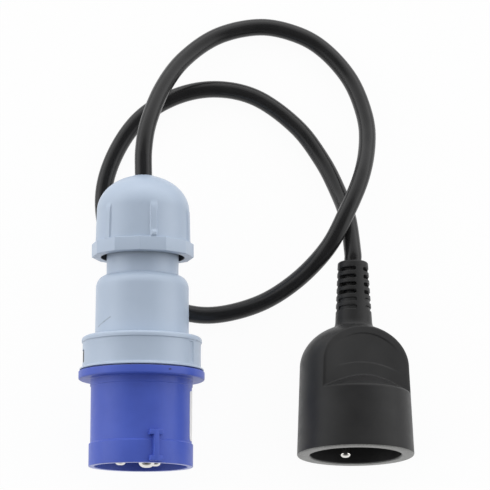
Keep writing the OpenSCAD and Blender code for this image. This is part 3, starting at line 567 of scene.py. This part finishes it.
# %% Nut
COLLAR_TOP_R, NUT_MOUTH_R, NUT_MOUTH_END, CABLE_HOLE = 20.6, 18.15, 94.6, 4.4
EYE_R, EYE_END, EYE_START = 4.9, 127.75, 127.4
RIB_FOOT = rows((20.645, 97.9), (20.57, 101.1), 0.16)
RIB_LENGTH = rows((20.55, 101.8), (20.28, 111), 2)
NUT_HOLLOW = [
    (CABLE_HOLE, 125, 0), (9.2, 117.7, 0), (11.5, 117.7, 0), (11.5, 116.1, 0), (16, 107.7, 0),
    (16, NUT_MOUTH_END, 0), (NUT_MOUTH_R, NUT_MOUTH_END, 0),
]
nut_dome = arc((0, DOME_START), DOME_R, DOME_HEIGHT, 0, DOME_TURN, DOME_STEPS)
nut = spun("nut", [
    (NUT_MOUTH_R, COLLAR_START, 0.2), (COLLAR_R, COLLAR_START, 0.35),
    (COLLAR_R, COLLAR_END, 0.35), (COLLAR_TOP_R, COLLAR_END, 0.15),
] + RIB_FOOT + RIB_LENGTH + nut_dome + [
    (EYE_R, EYE_END, 0.3), (CABLE_HOLE, EYE_START, 0.1),
] + NUT_HOLLOW, plug_place, steps=720, rule=nut_form)
done(nut, "gland_nut", "grey_plastic", "gland_nut")

# %% [markdown]
# ## Black socket
# The other end is a moulded household socket: a slightly tapered barrel with a deep round
# recess, a dome behind it, and two flats that fingers grip when it is pulled out. Each flat
# starts with a sloping wall and has a shallow panel in it. Boxes could cut the flats, but
# their edges are soft on the real thing, so again a rule shapes a spun mesh: at each point the
# nearer of the round wall and the flat wins, with a soft blend where they meet.

# %% Rule for the grip
RIM_R, GRIP_R, CONE_END, BACK_HEIGHT = 25.4, 23.8, 38.6, 19.3
FLAT, WALL_START, WALL_SLOPE, GRIP_SOFT, GRIP_FROM, LEAST_FACING = 12.35, 27.2, 0.53, 1.1, 24, 0.1
PANEL_SINK, PANEL_FADE, PANEL_SOFT = 0.3, (8, 17), 0.45
ARCH_R, ARCH_TOP, FOOT_R, FOOT_TOP = 20.9, 52.118, 37.7, 38.8


def socket_side(along):
    """Radius of the round outside of the socket."""
    if along <= CONE_END:
        return RIM_R + (GRIP_R - RIM_R) * along / CONE_END
    return GRIP_R * math.sqrt(max(0, 1 - ((along - CONE_END) / BACK_HEIGHT) ** 2))


def socket_rows(start, end, step):
    """Corners of the profile along the socket's outside."""
    return rows((socket_side(start), start), (socket_side(end), end), step)


def soft_min(a, b, soft):
    """The lesser of two lengths, with a blend where they are nearly the same."""
    near = max(soft - abs(a - b), 0) / soft
    return min(a, b) - near * near * soft / 4


def panel_sink(x, along):
    """How far the panel lies below the flat at a place on it."""
    inside = min(
        ARCH_R - math.hypot(x, along - ARCH_TOP + ARCH_R),
        math.hypot(x, along - FOOT_TOP + FOOT_R) - FOOT_R,
    )
    return PANEL_SINK * eased(inside, 0, PANEL_SOFT) * eased(abs(x), *reversed(PANEL_FADE))


def socket_form(r, angle, along):
    """Two flats with their sloping walls, cut softly into the outside alone."""
    if along > GRIP_FROM and r > socket_side(along) - EDGE_MARGIN / 2:
        facing = max(LEAST_FACING, abs(math.cos(math.radians(angle))))
        flat = FLAT - panel_sink(FLAT * math.tan(math.acos(facing)), along)
        wall = GRIP_R - (along - WALL_START) / WALL_SLOPE
        r = soft_min(r, -soft_min(-flat / facing, -wall, GRIP_SOFT), GRIP_SOFT)
    return r, angle, along


for spot, along in (("flat", 36), ("panel", 44)):
    print(spot, "at", round(socket_form(socket_side(along), 0, along)[0], 2), "mm from the axis")

# %% Socket body
RECESS_R, RECESS_END, MOUTH_CHAMFER, RIM_ROUND = 19.75, 27, 0.6, 0.8
BARREL_START, BARREL_ROW, GRIP_ROW, BACK_STEPS = 2, 6, 0.3, 84
SLEEVE_HOLE, WIRE_ROOM_R, WIRE_ROOM_START, WIRE_ROOM_END, CORE_HOLE = 8.25, 10.1, 41.7, 51.7, 5.4
back_turn = math.degrees(math.acos(SLEEVE_HOLE / GRIP_R))
socket = spun("socket", [
    (RECESS_R, MOUTH_CHAMFER, 0.2), (RECESS_R + MOUTH_CHAMFER, 0, 0.1), (RIM_R, 0, RIM_ROUND),
] + socket_rows(BARREL_START, GRIP_FROM, BARREL_ROW)
    + socket_rows(GRIP_FROM + GRIP_ROW, CONE_END - 2 * EDGE_MARGIN, GRIP_ROW)
    + arc((0, CONE_END), GRIP_R, BACK_HEIGHT, 0, back_turn, BACK_STEPS) + [
    (SLEEVE_HOLE, WIRE_ROOM_END, 0), (WIRE_ROOM_R, WIRE_ROOM_END, 0),
    (WIRE_ROOM_R, WIRE_ROOM_START, 0), (CORE_HOLE, WIRE_ROOM_START, 0),
    (CORE_HOLE, RECESS_END, 0), (RECESS_R, RECESS_END, 0),
], socket_place, steps=480, rule=socket_form)
print("socket", len(socket.data.vertices), "points")

# %% Rooms for the contacts and the earth strap
CUT_START, CONTACT_WIDTH, CONTACT_HALF = 26, 30, 5.5
STRAP_ROOM_WIDTH, STRAP_ROOM_REACH, STRAP_ROOM_END = 4.6, 12.3, 28.3
combine(socket, block(
    CONTACT_WIDTH, -CONTACT_HALF, CONTACT_HALF, CUT_START, WIRE_ROOM_START, socket_place))
combine(socket, block(
    STRAP_ROOM_WIDTH, -STRAP_ROOM_REACH, 0, CUT_START, STRAP_ROOM_END, socket_place))
done(socket, "lead", "socket_black", "socket_body")

# %% [markdown]
# ## Strain relief
# Where the cable leaves the socket, a tapered sleeve keeps it from kinking. Rows of slots make
# it bend a little: the outer four rows end just short of the cable, the inner two are only
# pressed into the surface. The sleeve is a spun profile. A block would cut slots with square
# ends, so the tool for a slot is a short spun bar with round ends and a widening mouth, and
# all the bars are cut out at once.

# %% Sleeve
SLEEVE_BASE, SLEEVE_TIP, SLEEVE_BORE = 8.2, 6.65, 4
SLEEVE_FOOT_R, SLEEVE_FOOT_START, FILLET_START = 10, 49.7, 56
SLEEVE_FILLET = [(9.5, 56.2, 0), (8.9, 56.62, 0), (8.5, 57.15, 0), (8.25, 57.9, 0)]
TAPER_START, TAPER_END, TAPER_ROW = 58.8, 84.8, 1


def sleeve_side(along):
    """Radius of the tapered outside of the sleeve."""
    share = (along - SLEEVE_START) / (SLEEVE_END - SLEEVE_START)
    return SLEEVE_BASE + (SLEEVE_TIP - SLEEVE_BASE) * share


sleeve_taper = rows(
    (sleeve_side(TAPER_START), TAPER_START), (sleeve_side(TAPER_END), TAPER_END), TAPER_ROW)
sleeve = spun("sleeve", [
    (SLEEVE_BORE, SLEEVE_FOOT_START, 0), (SLEEVE_FOOT_R, SLEEVE_FOOT_START, 0.2),
    (SLEEVE_FOOT_R, WIRE_ROOM_END, 0.2), (SLEEVE_BASE, WIRE_ROOM_END, 0),
    (SLEEVE_BASE, FILLET_START, 0),
] + SLEEVE_FILLET + sleeve_taper + [
    (SLEEVE_TIP, SLEEVE_END, 1), (SLEEVE_BORE, SLEEVE_END, 0.25),
], socket_place, steps=160)
print("sleeve tapers from", SLEEVE_BASE, "to", SLEEVE_TIP, "mm")

# %% Slots in the sleeve
SLOT_ROWS, DEEP_ROWS, SLOT_FIRST, SLOT_PITCH, SLOT_HALF = 6, 4, 4, 3.5, 0.8
SLOT_ARC, SLOT_TURN, SLOT_DEEP, SLOT_SHALLOW, SLOT_MEAN_R = 70, 49, 4.6, 0.6, 7
LIP_DEPTH, LIP_FLARE, TOOL_PROUD = 0.3, 0.25, 1


def slot_form(r, angle, along):
    """Crowd the rings at both ends and close them into round ends."""
    share = math.sin(math.radians(90 * angle / (SLOT_ARC / 2)))
    bend = math.degrees(SLOT_HALF / SLOT_MEAN_R)
    angle = share * SLOT_ARC / 2
    into = max(0, abs(angle) - (SLOT_ARC / 2 - bend)) / bend
    return r, angle, along * math.sqrt(max(0, 1 - into * into))


def slot_tool(at, angle, depth):
    """Bar that cuts one slot, from a depth to past the surface, with a mouth that widens."""
    outer = sleeve_side(at)
    side = [
        (depth, SLOT_HALF),
        (outer - LIP_DEPTH, SLOT_HALF),
        (outer - LIP_DEPTH / 3, SLOT_HALF + LIP_FLARE / 4),
        (outer, SLOT_HALF + LIP_FLARE),
        (outer + TOOL_PROUD, SLOT_HALF + 2 * LIP_FLARE),
    ]
    outline = [(r, h, 0) for r, h in side] + [(r, -h, 0) for r, h in reversed(side)]
    place = socket_place @ turned("Z", angle) @ Matrix.Translation((0, 0, at * MM))
    return spun("slot", outline, place, steps=40, sweep=SLOT_ARC, rule=slot_form)


tools = []
for row in range(SLOT_ROWS):
    at = SLEEVE_END - SLOT_FIRST - row * SLOT_PITCH
    depth = SLOT_DEEP if row < DEEP_ROWS else sleeve_side(at) - SLOT_SHALLOW
    for flat in (0, 180):
        tools += [slot_tool(at, flat + side * SLOT_TURN, depth) for side in (-1, 1)]
only(tools[0])
for tool in tools:
    tool.select_set(True)
bpy.ops.object.join()
combine(sleeve, tools[0])
done(sleeve, "lead", "socket_black", "strain_relief")
print(len(tools), "slots")

# %% [markdown]
# ## Earth pin of the socket
# In the recess stands one nickel-plated pin, low on the left, for the earth. Behind the floor
# of the recess it has a head and a flat strap for its wire. The pin is turned from rod, so it
# is spun like the plug's pins. The strap is flat, so it is a soft block joined to the head.

# %% Socket earth pin
EARTH_R, EARTH_OFF, EARTH_TIP, EARTH_ROOT = 2.4, 10, 1, 15
HEAD_R, HEAD_START, HEAD_END, RIVET_R, RIVET_END = 3.6, 25.15, 27, 1.9, 27.5
STRAP_WIDTH, STRAP_REACH, STRAP_NEAR, STRAP_THICK, STRAP_SOFT = 4, 12, 2, 1, 0.15
earth_place = socket_place @ Matrix.Translation((0, EARTH_OFF * MM, 0))
earth_pin = spun("socket_prong", tip(EARTH_R, EARTH_TIP) + [
    (EARTH_R, EARTH_ROOT, 0), (EARTH_R + SHANK_STEP, EARTH_ROOT, 0),
    (EARTH_R + SHANK_STEP, HEAD_START, 0), (HEAD_R, HEAD_START, 0.2), (HEAD_R, HEAD_END, 0.2),
    (RIVET_R, HEAD_END, 0), (RIVET_R, RIVET_END, 0), (0, RIVET_END, 0),
], earth_place, steps=72)
strap = block(STRAP_WIDTH, -STRAP_REACH, -STRAP_NEAR, HEAD_END, HEAD_END + STRAP_THICK,
              socket_place, STRAP_SOFT)
combine(earth_pin, strap, "UNION")
done(earth_pin, "lead", "nickel_plate", "socket_earth_pin")

# %% [markdown]
# ## Shutter spring
# Behind the recess a white shutter covers the line holes until a plug pushes it aside against
# a small spring. The spring's solid is right as it is, but it has to shorten when the shutter
# moves. A copy of it is merged and smoothed.

# %% Spring
spring = bpy.data.objects.new("spring", nodes["shutter_spring"].data.copy())
bpy.context.collection.objects.link(spring)
only(spring)
close(spring)
done(spring, "lead", "steel", "shutter_spring")
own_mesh(spring)

# %% [markdown]
# ## Moulded plastic
# Most of the lead is moulded plastic in three colours. Fresh from a mould it isn't one flat
# colour: pigment clouds it a little, the mould's fine grain breaks up the shine, and the shine
# is uneven from flow and handling. A picture of it would stretch over the round pieces, so all
# of that is made with noise on Object coordinates, which are metres here: a scale of a hundred
# is a pattern of about a centimetre.

# %% Nodes for a finish
NOISE_RANGE = (0.3, 0.7)  # most of a noise lies between these


def feed(tree, entry, value):
    """Link an output to an entry of a node, or set the entry to a plain value."""
    if isinstance(value, bpy.types.NodeSocket):
        tree.links.new(value, entry)
    else:
        entry.default_value = value


def node(tree, kind, **inputs):
    """New node with values or links for its entries, by name."""
    made = tree.nodes.new(kind)
    for name, value in inputs.items():
        feed(tree, made.inputs[name.replace("_", " ")], value)
    return made


def worked_out(tree, kind, operation, *values):
    """New node that works something out from values or links, in the order of its entries."""
    made = tree.nodes.new(kind)
    made.operation = operation
    for value, entry in zip(values, made.inputs):
        feed(tree, entry, value)
    return made


def mixed(tree, share, first, second, kind="FLOAT"):
    """Mix of two numbers or two colours by a share."""
    mix = tree.nodes.new("ShaderNodeMix")
    mix.data_type = kind
    for name, value in (("Factor", share), ("A", first), ("B", second)):
        feed(tree, mix.inputs[name], value)
    return mix.outputs["Result"]


def ranged(tree, value, start, end, low=0, high=1, curve="LINEAR"):
    """Value that goes from low to high while another goes from start to end."""
    made = node(tree, "ShaderNodeMapRange", Value=value, From_Min=start, From_Max=end,
                To_Min=low, To_Max=high)
    made.interpolation_type = curve
    return made.outputs["Result"]


print("a noise is spread between", *NOISE_RANGE)

# %% Parts of a finish
finishes = {}


def start_finish(slot):
    """New material, as its node tree, its surface shader and its Object coordinates."""
    made = bpy.data.materials.new(slot)
    made.use_nodes = True
    finishes[slot] = made
    tree = made.node_tree
    where = tree.nodes.new("ShaderNodeTexCoord").outputs["Object"]
    return tree, tree.nodes["Principled BSDF"], where


def noise(tree, where, scale, detail=2):
    made = node(tree, "ShaderNodeTexNoise", Vector=where, Scale=scale, Detail=detail)
    return made.outputs["Fac"]


def spread(tree, value, low, high):
    return ranged(tree, value, *NOISE_RANGE, low, high)


def tinted(tree, value, low, high):
    """Colour that runs from low to high."""
    return mixed(tree, spread(tree, value, 0, 1), (*low, 1), (*high, 1), "RGBA")


def bumped(tree, surface, height, depth):
    """Raise a surface by a pattern of a depth in mm."""
    bump = node(tree, "ShaderNodeBump", Height=height, Strength=1, Distance=depth * MM)
    feed(tree, surface.inputs["Normal"], bump.outputs["Normal"])


def moulded(slot, low, high, shine, grain, depth, gloss=0.5, clouds=90):
    """Plastic between two colours, with a range of roughness and a grain of a depth in mm."""
    tree, surface, where = finish = start_finish(slot)
    surface.inputs["Specular IOR Level"].default_value = gloss
    cloud = noise(tree, where, clouds, 4)
    feed(tree, surface.inputs["Base Color"], tinted(tree, cloud, low, high))
    flow = noise(tree, where, clouds * 3, 3)
    feed(tree, surface.inputs["Roughness"], spread(tree, flow, *shine))
    bumped(tree, surface, noise(tree, where, grain), depth)
    return finish


print("finishes so far:", len(finishes))

# %% Plastics
blue = moulded(
    "blue_plastic", (0.055, 0.098, 0.475), (0.063, 0.111, 0.52), (0.36, 0.44), 1800, 0.003, 0.37)
grey = moulded(
    "grey_plastic", (0.40, 0.482, 0.600), (0.42, 0.502, 0.625), (0.35, 0.43), 1800, 0.003, 0.62)
black = moulded(
    "socket_black", (0.022, 0.022, 0.0225), (0.028, 0.028, 0.0285), (0.34, 0.42), 1800, 0.003,
    0.17)
moulded("dark_plastic", (0.018, 0.019, 0.023), (0.026, 0.027, 0.032), (0.45, 0.6), 3000, 0.01)
moulded("shutter_white", (0.79, 0.79, 0.79), (0.83, 0.83, 0.83), (0.35, 0.45), 3000, 0.005)
moulded("seal_rubber", (0.016, 0.016, 0.017), (0.024, 0.024, 0.025), (0.6, 0.75), 2200, 0.015)
moulded("brown_insulation", (0.11, 0.040, 0.014), (0.14, 0.052, 0.02), (0.35, 0.5), 2500, 0.01)
moulded("blue_insulation", (0.03, 0.09, 0.52), (0.04, 0.12, 0.6), (0.35, 0.5), 2500, 0.01)
print("plastics:", sorted(finishes))

# %% [markdown]
# ## Marks of use
# The grey body carries one short scuff and the blue flange a small nick. Both could be cut as
# geometry, but they have no depth to speak of. The distance from a line between two points
# of the surface, found with vector nodes, darkens the plastic along it.

# %% Scuff and nick
SCUFF = ((-63.91, -3.58, 36.6), (-61.16, -2.11, 41.05), (-58.41, -0.62, 43.99))
NICK = ((-32.7, -24.67, 51.6), (-32.1, -24.6, 51.4))


def vector_math(tree, operation, *values):
    return worked_out(tree, "ShaderNodeVectorMath", operation, *values)


def blend(tree, surface, share, colour):
    """Lay a share of a colour over the colour that a surface has."""
    under = surface.inputs["Base Color"].links[0].from_socket
    feed(tree, surface.inputs["Base Color"], mixed(tree, share, under, (*colour, 1), "RGBA"))


def marked(finish, line, colour, edge, core, share):
    """Blend a colour in along a line: from nothing at its edge to a share at its core, in mm."""
    tree, surface, where = finish
    start, end = (Vector(point) * MM for point in line)
    run = (end - start).normalized()
    off = vector_math(tree, "SUBTRACT", where, start).outputs["Vector"]
    along = vector_math(tree, "DOT_PRODUCT", off, run).outputs["Value"]
    kept = node(tree, "ShaderNodeClamp", Value=along, Min=0, Max=(end - start).length)
    foot = vector_math(tree, "SCALE", run)
    feed(tree, foot.inputs["Scale"], kept.outputs["Result"])
    gap = vector_math(tree, "DISTANCE", off, foot.outputs["Vector"]).outputs["Value"]
    blend(tree, surface, ranged(tree, gap, edge * MM, core * MM, 0, share), colour)


for line in zip(SCUFF, SCUFF[1:]):
    marked(grey, line, (0.16, 0.19, 0.24), edge=0.45, core=0.1, share=0.55)
marked(blue, NICK, (0.012, 0.018, 0.09), edge=0.5, core=0.15, share=0.9)
print("scuff of", round((Vector(SCUFF[2]) - Vector(SCUFF[0])).length, 1), "mm")

# %% [markdown]
# ## Painted shade and painted rim reflections
# Painted shade darkens the thread deep inside the nut, and a painted reflection of the bright
# ground lightens the rims of shroud and socket. Each place could have a material of its own,
# but then its border would be a hard line. Instead, each point of the mesh carries a value, one
# or zero, which fades from point to point and which the finish reads to blend a colour in.

# %% Painted shade and painted rim reflections
THREAD_R, THREAD_END, SHROUD_RIM, SOCKET_RIM, PAINTED_LIGHT_GRAIN = 18.3, 116, 0.12, 0.35, 1500


def flag_points(piece, place, name, rule):
    """Give each point of a mesh a one where a rule of radius and length holds, or a zero."""
    marks = piece.data.attributes.new(name, "FLOAT", "POINT")
    for vertex, mark in zip(piece.data.vertices, marks.data):
        spot = place.inverted() @ vertex.co / MM
        mark.value = rule(math.hypot(spot.x, spot.y), spot.z)
    print(piece.name, name, round(sum(mark.value for mark in marks.data)), "points")


def paint_light_by_mark(finish, name, colour, low, high):
    """Paint shade or light: blend a colour in where marked, by a share that a noise varies."""
    tree, surface, where = finish
    mark = tree.nodes.new("ShaderNodeAttribute")
    mark.attribute_name = name
    uneven = spread(tree, noise(tree, where, PAINTED_LIGHT_GRAIN), low, high)
    share = worked_out(tree, "ShaderNodeMath", "MULTIPLY", mark.outputs["Fac"], uneven)
    blend(tree, surface, share.outputs[0], colour)


# Painted shade: the inside of the nut is darkened to the shade that lies deep in it.
flag_points(nut, plug_place, "inside", lambda r, along: r < THREAD_R and along < THREAD_END)
paint_light_by_mark(grey, "inside", (0.02, 0.022, 0.026), 0.95, 1)
# Painted reflection: the shroud's rim is lightened as if it mirrored the bright ground.
flag_points(shroud, plug_place, "rim", lambda r, along: along < SHROUD_RIM)
paint_light_by_mark(blue, "rim", (0.36, 0.40, 0.80), 0.6, 1)
# Painted reflection: the socket's rim face is lightened as if it mirrored the bright ground.
flag_points(socket, socket_place, "rim", lambda r, along: along < SOCKET_RIM)
paint_light_by_mark(black, "rim", (0.30, 0.30, 0.29), 0.55, 1)

# %% [markdown]
# ## Earth wire
# The earth wire's insulation is green with yellow stripes along it. Stripes could be strips of
# their own, but they are in the plastic itself, with no step between them. A wave texture laid
# slantwise and cut hard gives them.

# %% Earth insulation
STRIPE_SCALE, STRIPE_WAVER, STRIPE_EDGE = 110, 0.4, (0.62, 0.66)
tree, surface, where = moulded(
    "earth_insulation", (0.05, 0.26, 0.03), (0.06, 0.31, 0.04), (0.35, 0.5), 2500, 0.01)
stripes = node(
    tree, "ShaderNodeTexWave", Vector=where, Scale=STRIPE_SCALE, Distortion=STRIPE_WAVER)
blend(tree, surface, ranged(tree, stripes.outputs["Fac"], *STRIPE_EDGE), (0.72, 0.55, 0.02))
print("stripes cut at", *STRIPE_EDGE)

# %% [markdown]
# ## Cable sheath
# The sheath is extruded, so what little texture it has runs along it: faint streaks from the
# die and a satin bloom. Noise in space would cut across the cable, but the tube's own map goes
# once round and once along, so a noise on it that is stretched one way follows every bend.

# %% Sheath
STREAK_SCALE, STREAK_DEPTH, STREAK_SHINE = (60, 14, 1), 0.008, (0.17, 0.25)
SHEATH_GLOSS, BLOOM_SCALE = 0.3, 140
tree, surface, where = start_finish("sheath_black")
along_map = node(tree, "ShaderNodeUVMap").outputs["UV"]
stretched = node(tree, "ShaderNodeMapping", Vector=along_map, Scale=STREAK_SCALE)
streaks = noise(tree, stretched.outputs["Vector"], 1, 3)
surface.inputs["Specular IOR Level"].default_value = SHEATH_GLOSS
bloom = noise(tree, where, BLOOM_SCALE, 3)
bloom_tint = tinted(tree, bloom, (0.017, 0.017, 0.0175), (0.022, 0.022, 0.0225))
feed(tree, surface.inputs["Base Color"], bloom_tint)
feed(tree, surface.inputs["Roughness"], spread(tree, streaks, *STREAK_SHINE))
bumped(tree, surface, streaks, STREAK_DEPTH)
print("streaks", STREAK_DEPTH, "mm deep")

# %% [markdown]
# ## Plated metal
# The pins are brass with bright nickel over it, turned on a lathe. The tool leaves fine rings,
# which drag every highlight out sideways. An anisotropic shader could do that, but the rings
# themselves show on a close look. Both connectors lie along one direction, so a noise that is
# packed tight along it draws the rings. The contacts are bare brass, and the screws and the
# spring are zinc-plated steel.

# %% Metals
METAL_CLOUDS, RING_SPAN = 400, 30


def turned_metal(slot, low, high, shine, rings, depth):
    """Metal between two colours, with rings across the length of the connectors."""
    tree, surface, where = start_finish(slot)
    surface.inputs["Metallic"].default_value = 1
    cloud = noise(tree, where, METAL_CLOUDS, 3)
    feed(tree, surface.inputs["Base Color"], tinted(tree, cloud, low, high))
    packed = node(tree, "ShaderNodeMapping", Vector=where, Scale=(RING_SPAN, rings, RING_SPAN))
    lines = noise(tree, packed.outputs["Vector"], 1)
    feed(tree, surface.inputs["Roughness"], spread(tree, lines, *shine))
    bumped(tree, surface, lines, depth)


turned_metal("nickel_plate", (0.76, 0.74, 0.70), (0.82, 0.80, 0.76), (0.05, 0.10), 4000, 0.0005)
turned_metal("steel", (0.62, 0.62, 0.63), (0.70, 0.70, 0.72), (0.25, 0.4), 3000, 0.002)
turned_metal("contact_brass", (0.76, 0.55, 0.22), (0.82, 0.61, 0.27), (0.22, 0.34), 3000, 0.002)
print("finishes:", len(finishes))

# %% [markdown]
# ## Dressing
# The solids that stay, such as the shutter, the contacts and the wires, are right in shape and
# only need a finish, which the record names for each of them. The new pieces get theirs by the
# slot that they were handed over with. A loop over both leaves no surface bare.

# %% Dress every piece
def dress(piece, slot):
    piece.data.materials.clear()
    piece.data.materials.append(finishes[slot])


for row in frame["record"]["subparts"]:
    dress(nodes[row["node"]], row["material_slot"])
for piece, slot in finish_of.items():
    dress(piece, slot)
print("dressed", len(nodes), "solids and", len(finish_of), "pieces")

# %% [markdown]
# ## Floor
# The photograph looks like one from a white tent: light from all sides, no hard shadow, and a
# white ground. A plain pale sheet would come out grey under a soft light. The sheet here therefore
# glows: most of what the camera and reflections meet is plain white, and the rest is paper
# that still takes the shadow. For light that bounces it glows a little less, so that the
# undersides get the even light that a bright table gives them.

# %% Floor
FLOOR_SIZE, PAPER, FLOOR_WHITE, FLOOR_SPILL = 6, 0.95, 0.95, 0.7  # metres, then shares of white
bpy.ops.object.select_all(action="DESELECT")
bpy.ops.mesh.primitive_plane_add(size=FLOOR_SIZE, location=(0, 0, 0))
floor = bpy.context.object
floor.name = "floor"
paper = bpy.data.materials.new("paper")
paper.use_nodes = True
floor.data.materials.append(paper)
tree = paper.node_tree
tree.nodes.remove(tree.nodes["Principled BSDF"])
sheet = node(tree, "ShaderNodeBsdfDiffuse", Color=(PAPER, PAPER, PAPER, 1))
glow = node(tree, "ShaderNodeEmission", Color=(1, 1, 1, 1), Strength=1)
ray = tree.nodes.new("ShaderNodeLightPath")
seen = ray.outputs["Is Camera Ray"]
for kind in ("Is Glossy Ray", "Is Transmission Ray"):
    seen = worked_out(tree, "ShaderNodeMath", "MAXIMUM", seen, ray.outputs[kind]).outputs[0]
white = tree.nodes.new("ShaderNodeMixShader")
white_share = mixed(tree, seen, FLOOR_SPILL, FLOOR_WHITE)
for entry, value in zip(white.inputs, (white_share, sheet.outputs[0], glow.outputs[0])):
    feed(tree, entry, value)
feed(tree, tree.nodes["Material Output"].inputs["Surface"], white.outputs[0])
print("floor", FLOOR_SIZE, "m wide,", FLOOR_WHITE, "of it plain white in the view")

# %% [markdown]
# ## The tent
# Inside the tent the walls are brighter than the roof, so round pieces are lighter at their
# sides than on top. The front is open and darker, and the lens looks in through a dark hole,
# which shiny tips mirror as a dark spot. Lamps could copy this, but a world whose strength
# follows the direction does it in one place, with soft changes from one side to the next.

# %% Tent light
WALL_LIGHT, ROOF_LIGHT, HOLE_LIGHT, FRONT_SHARE = 2.1, 0.82, 0.03, 0.15
ROOF_EDGE, FRONT_EDGE, HOLE_EDGE = (0.1, 0.9), (-0.1, -0.65), (50, 36)  # the last in degrees
world = bpy.data.worlds.new("tent")
bpy.context.scene.world = world
world.use_nodes = True
tree = world.node_tree
where = tree.nodes.new("ShaderNodeTexCoord").outputs["Generated"]
ways = node(tree, "ShaderNodeSeparateXYZ", Vector=where)
cloth = ranged(tree, ways.outputs["Z"], *ROOF_EDGE, WALL_LIGHT, ROOF_LIGHT, "SMOOTHSTEP")
front = ranged(tree, ways.outputs["Y"], *FRONT_EDGE, 1, FRONT_SHARE, "SMOOTHSTEP")
tent = worked_out(tree, "ShaderNodeMath", "MULTIPLY", cloth, front).outputs[0]
towards = vector_math(tree, "DOT_PRODUCT", where, -looking).outputs["Value"]
hole_rim = [math.cos(math.radians(edge)) for edge in HOLE_EDGE]
hole = ranged(tree, towards, *hole_rim, curve="SMOOTHSTEP")
ray = tree.nodes.new("ShaderNodeLightPath")
mirrored = worked_out(tree, "ShaderNodeMath", "MULTIPLY", hole, ray.outputs["Is Glossy Ray"])
inside = mixed(tree, mirrored.outputs[0], tent, HOLE_LIGHT)
background = tree.nodes["Background"]
feed(tree, background.inputs["Strength"], mixed(tree, ray.outputs["Is Camera Ray"], inside, 1))
background.inputs["Color"].default_value = (1, 1, 1, 1)
print("tent light from", ROOF_LIGHT, "at the roof to", WALL_LIGHT, "at the walls")
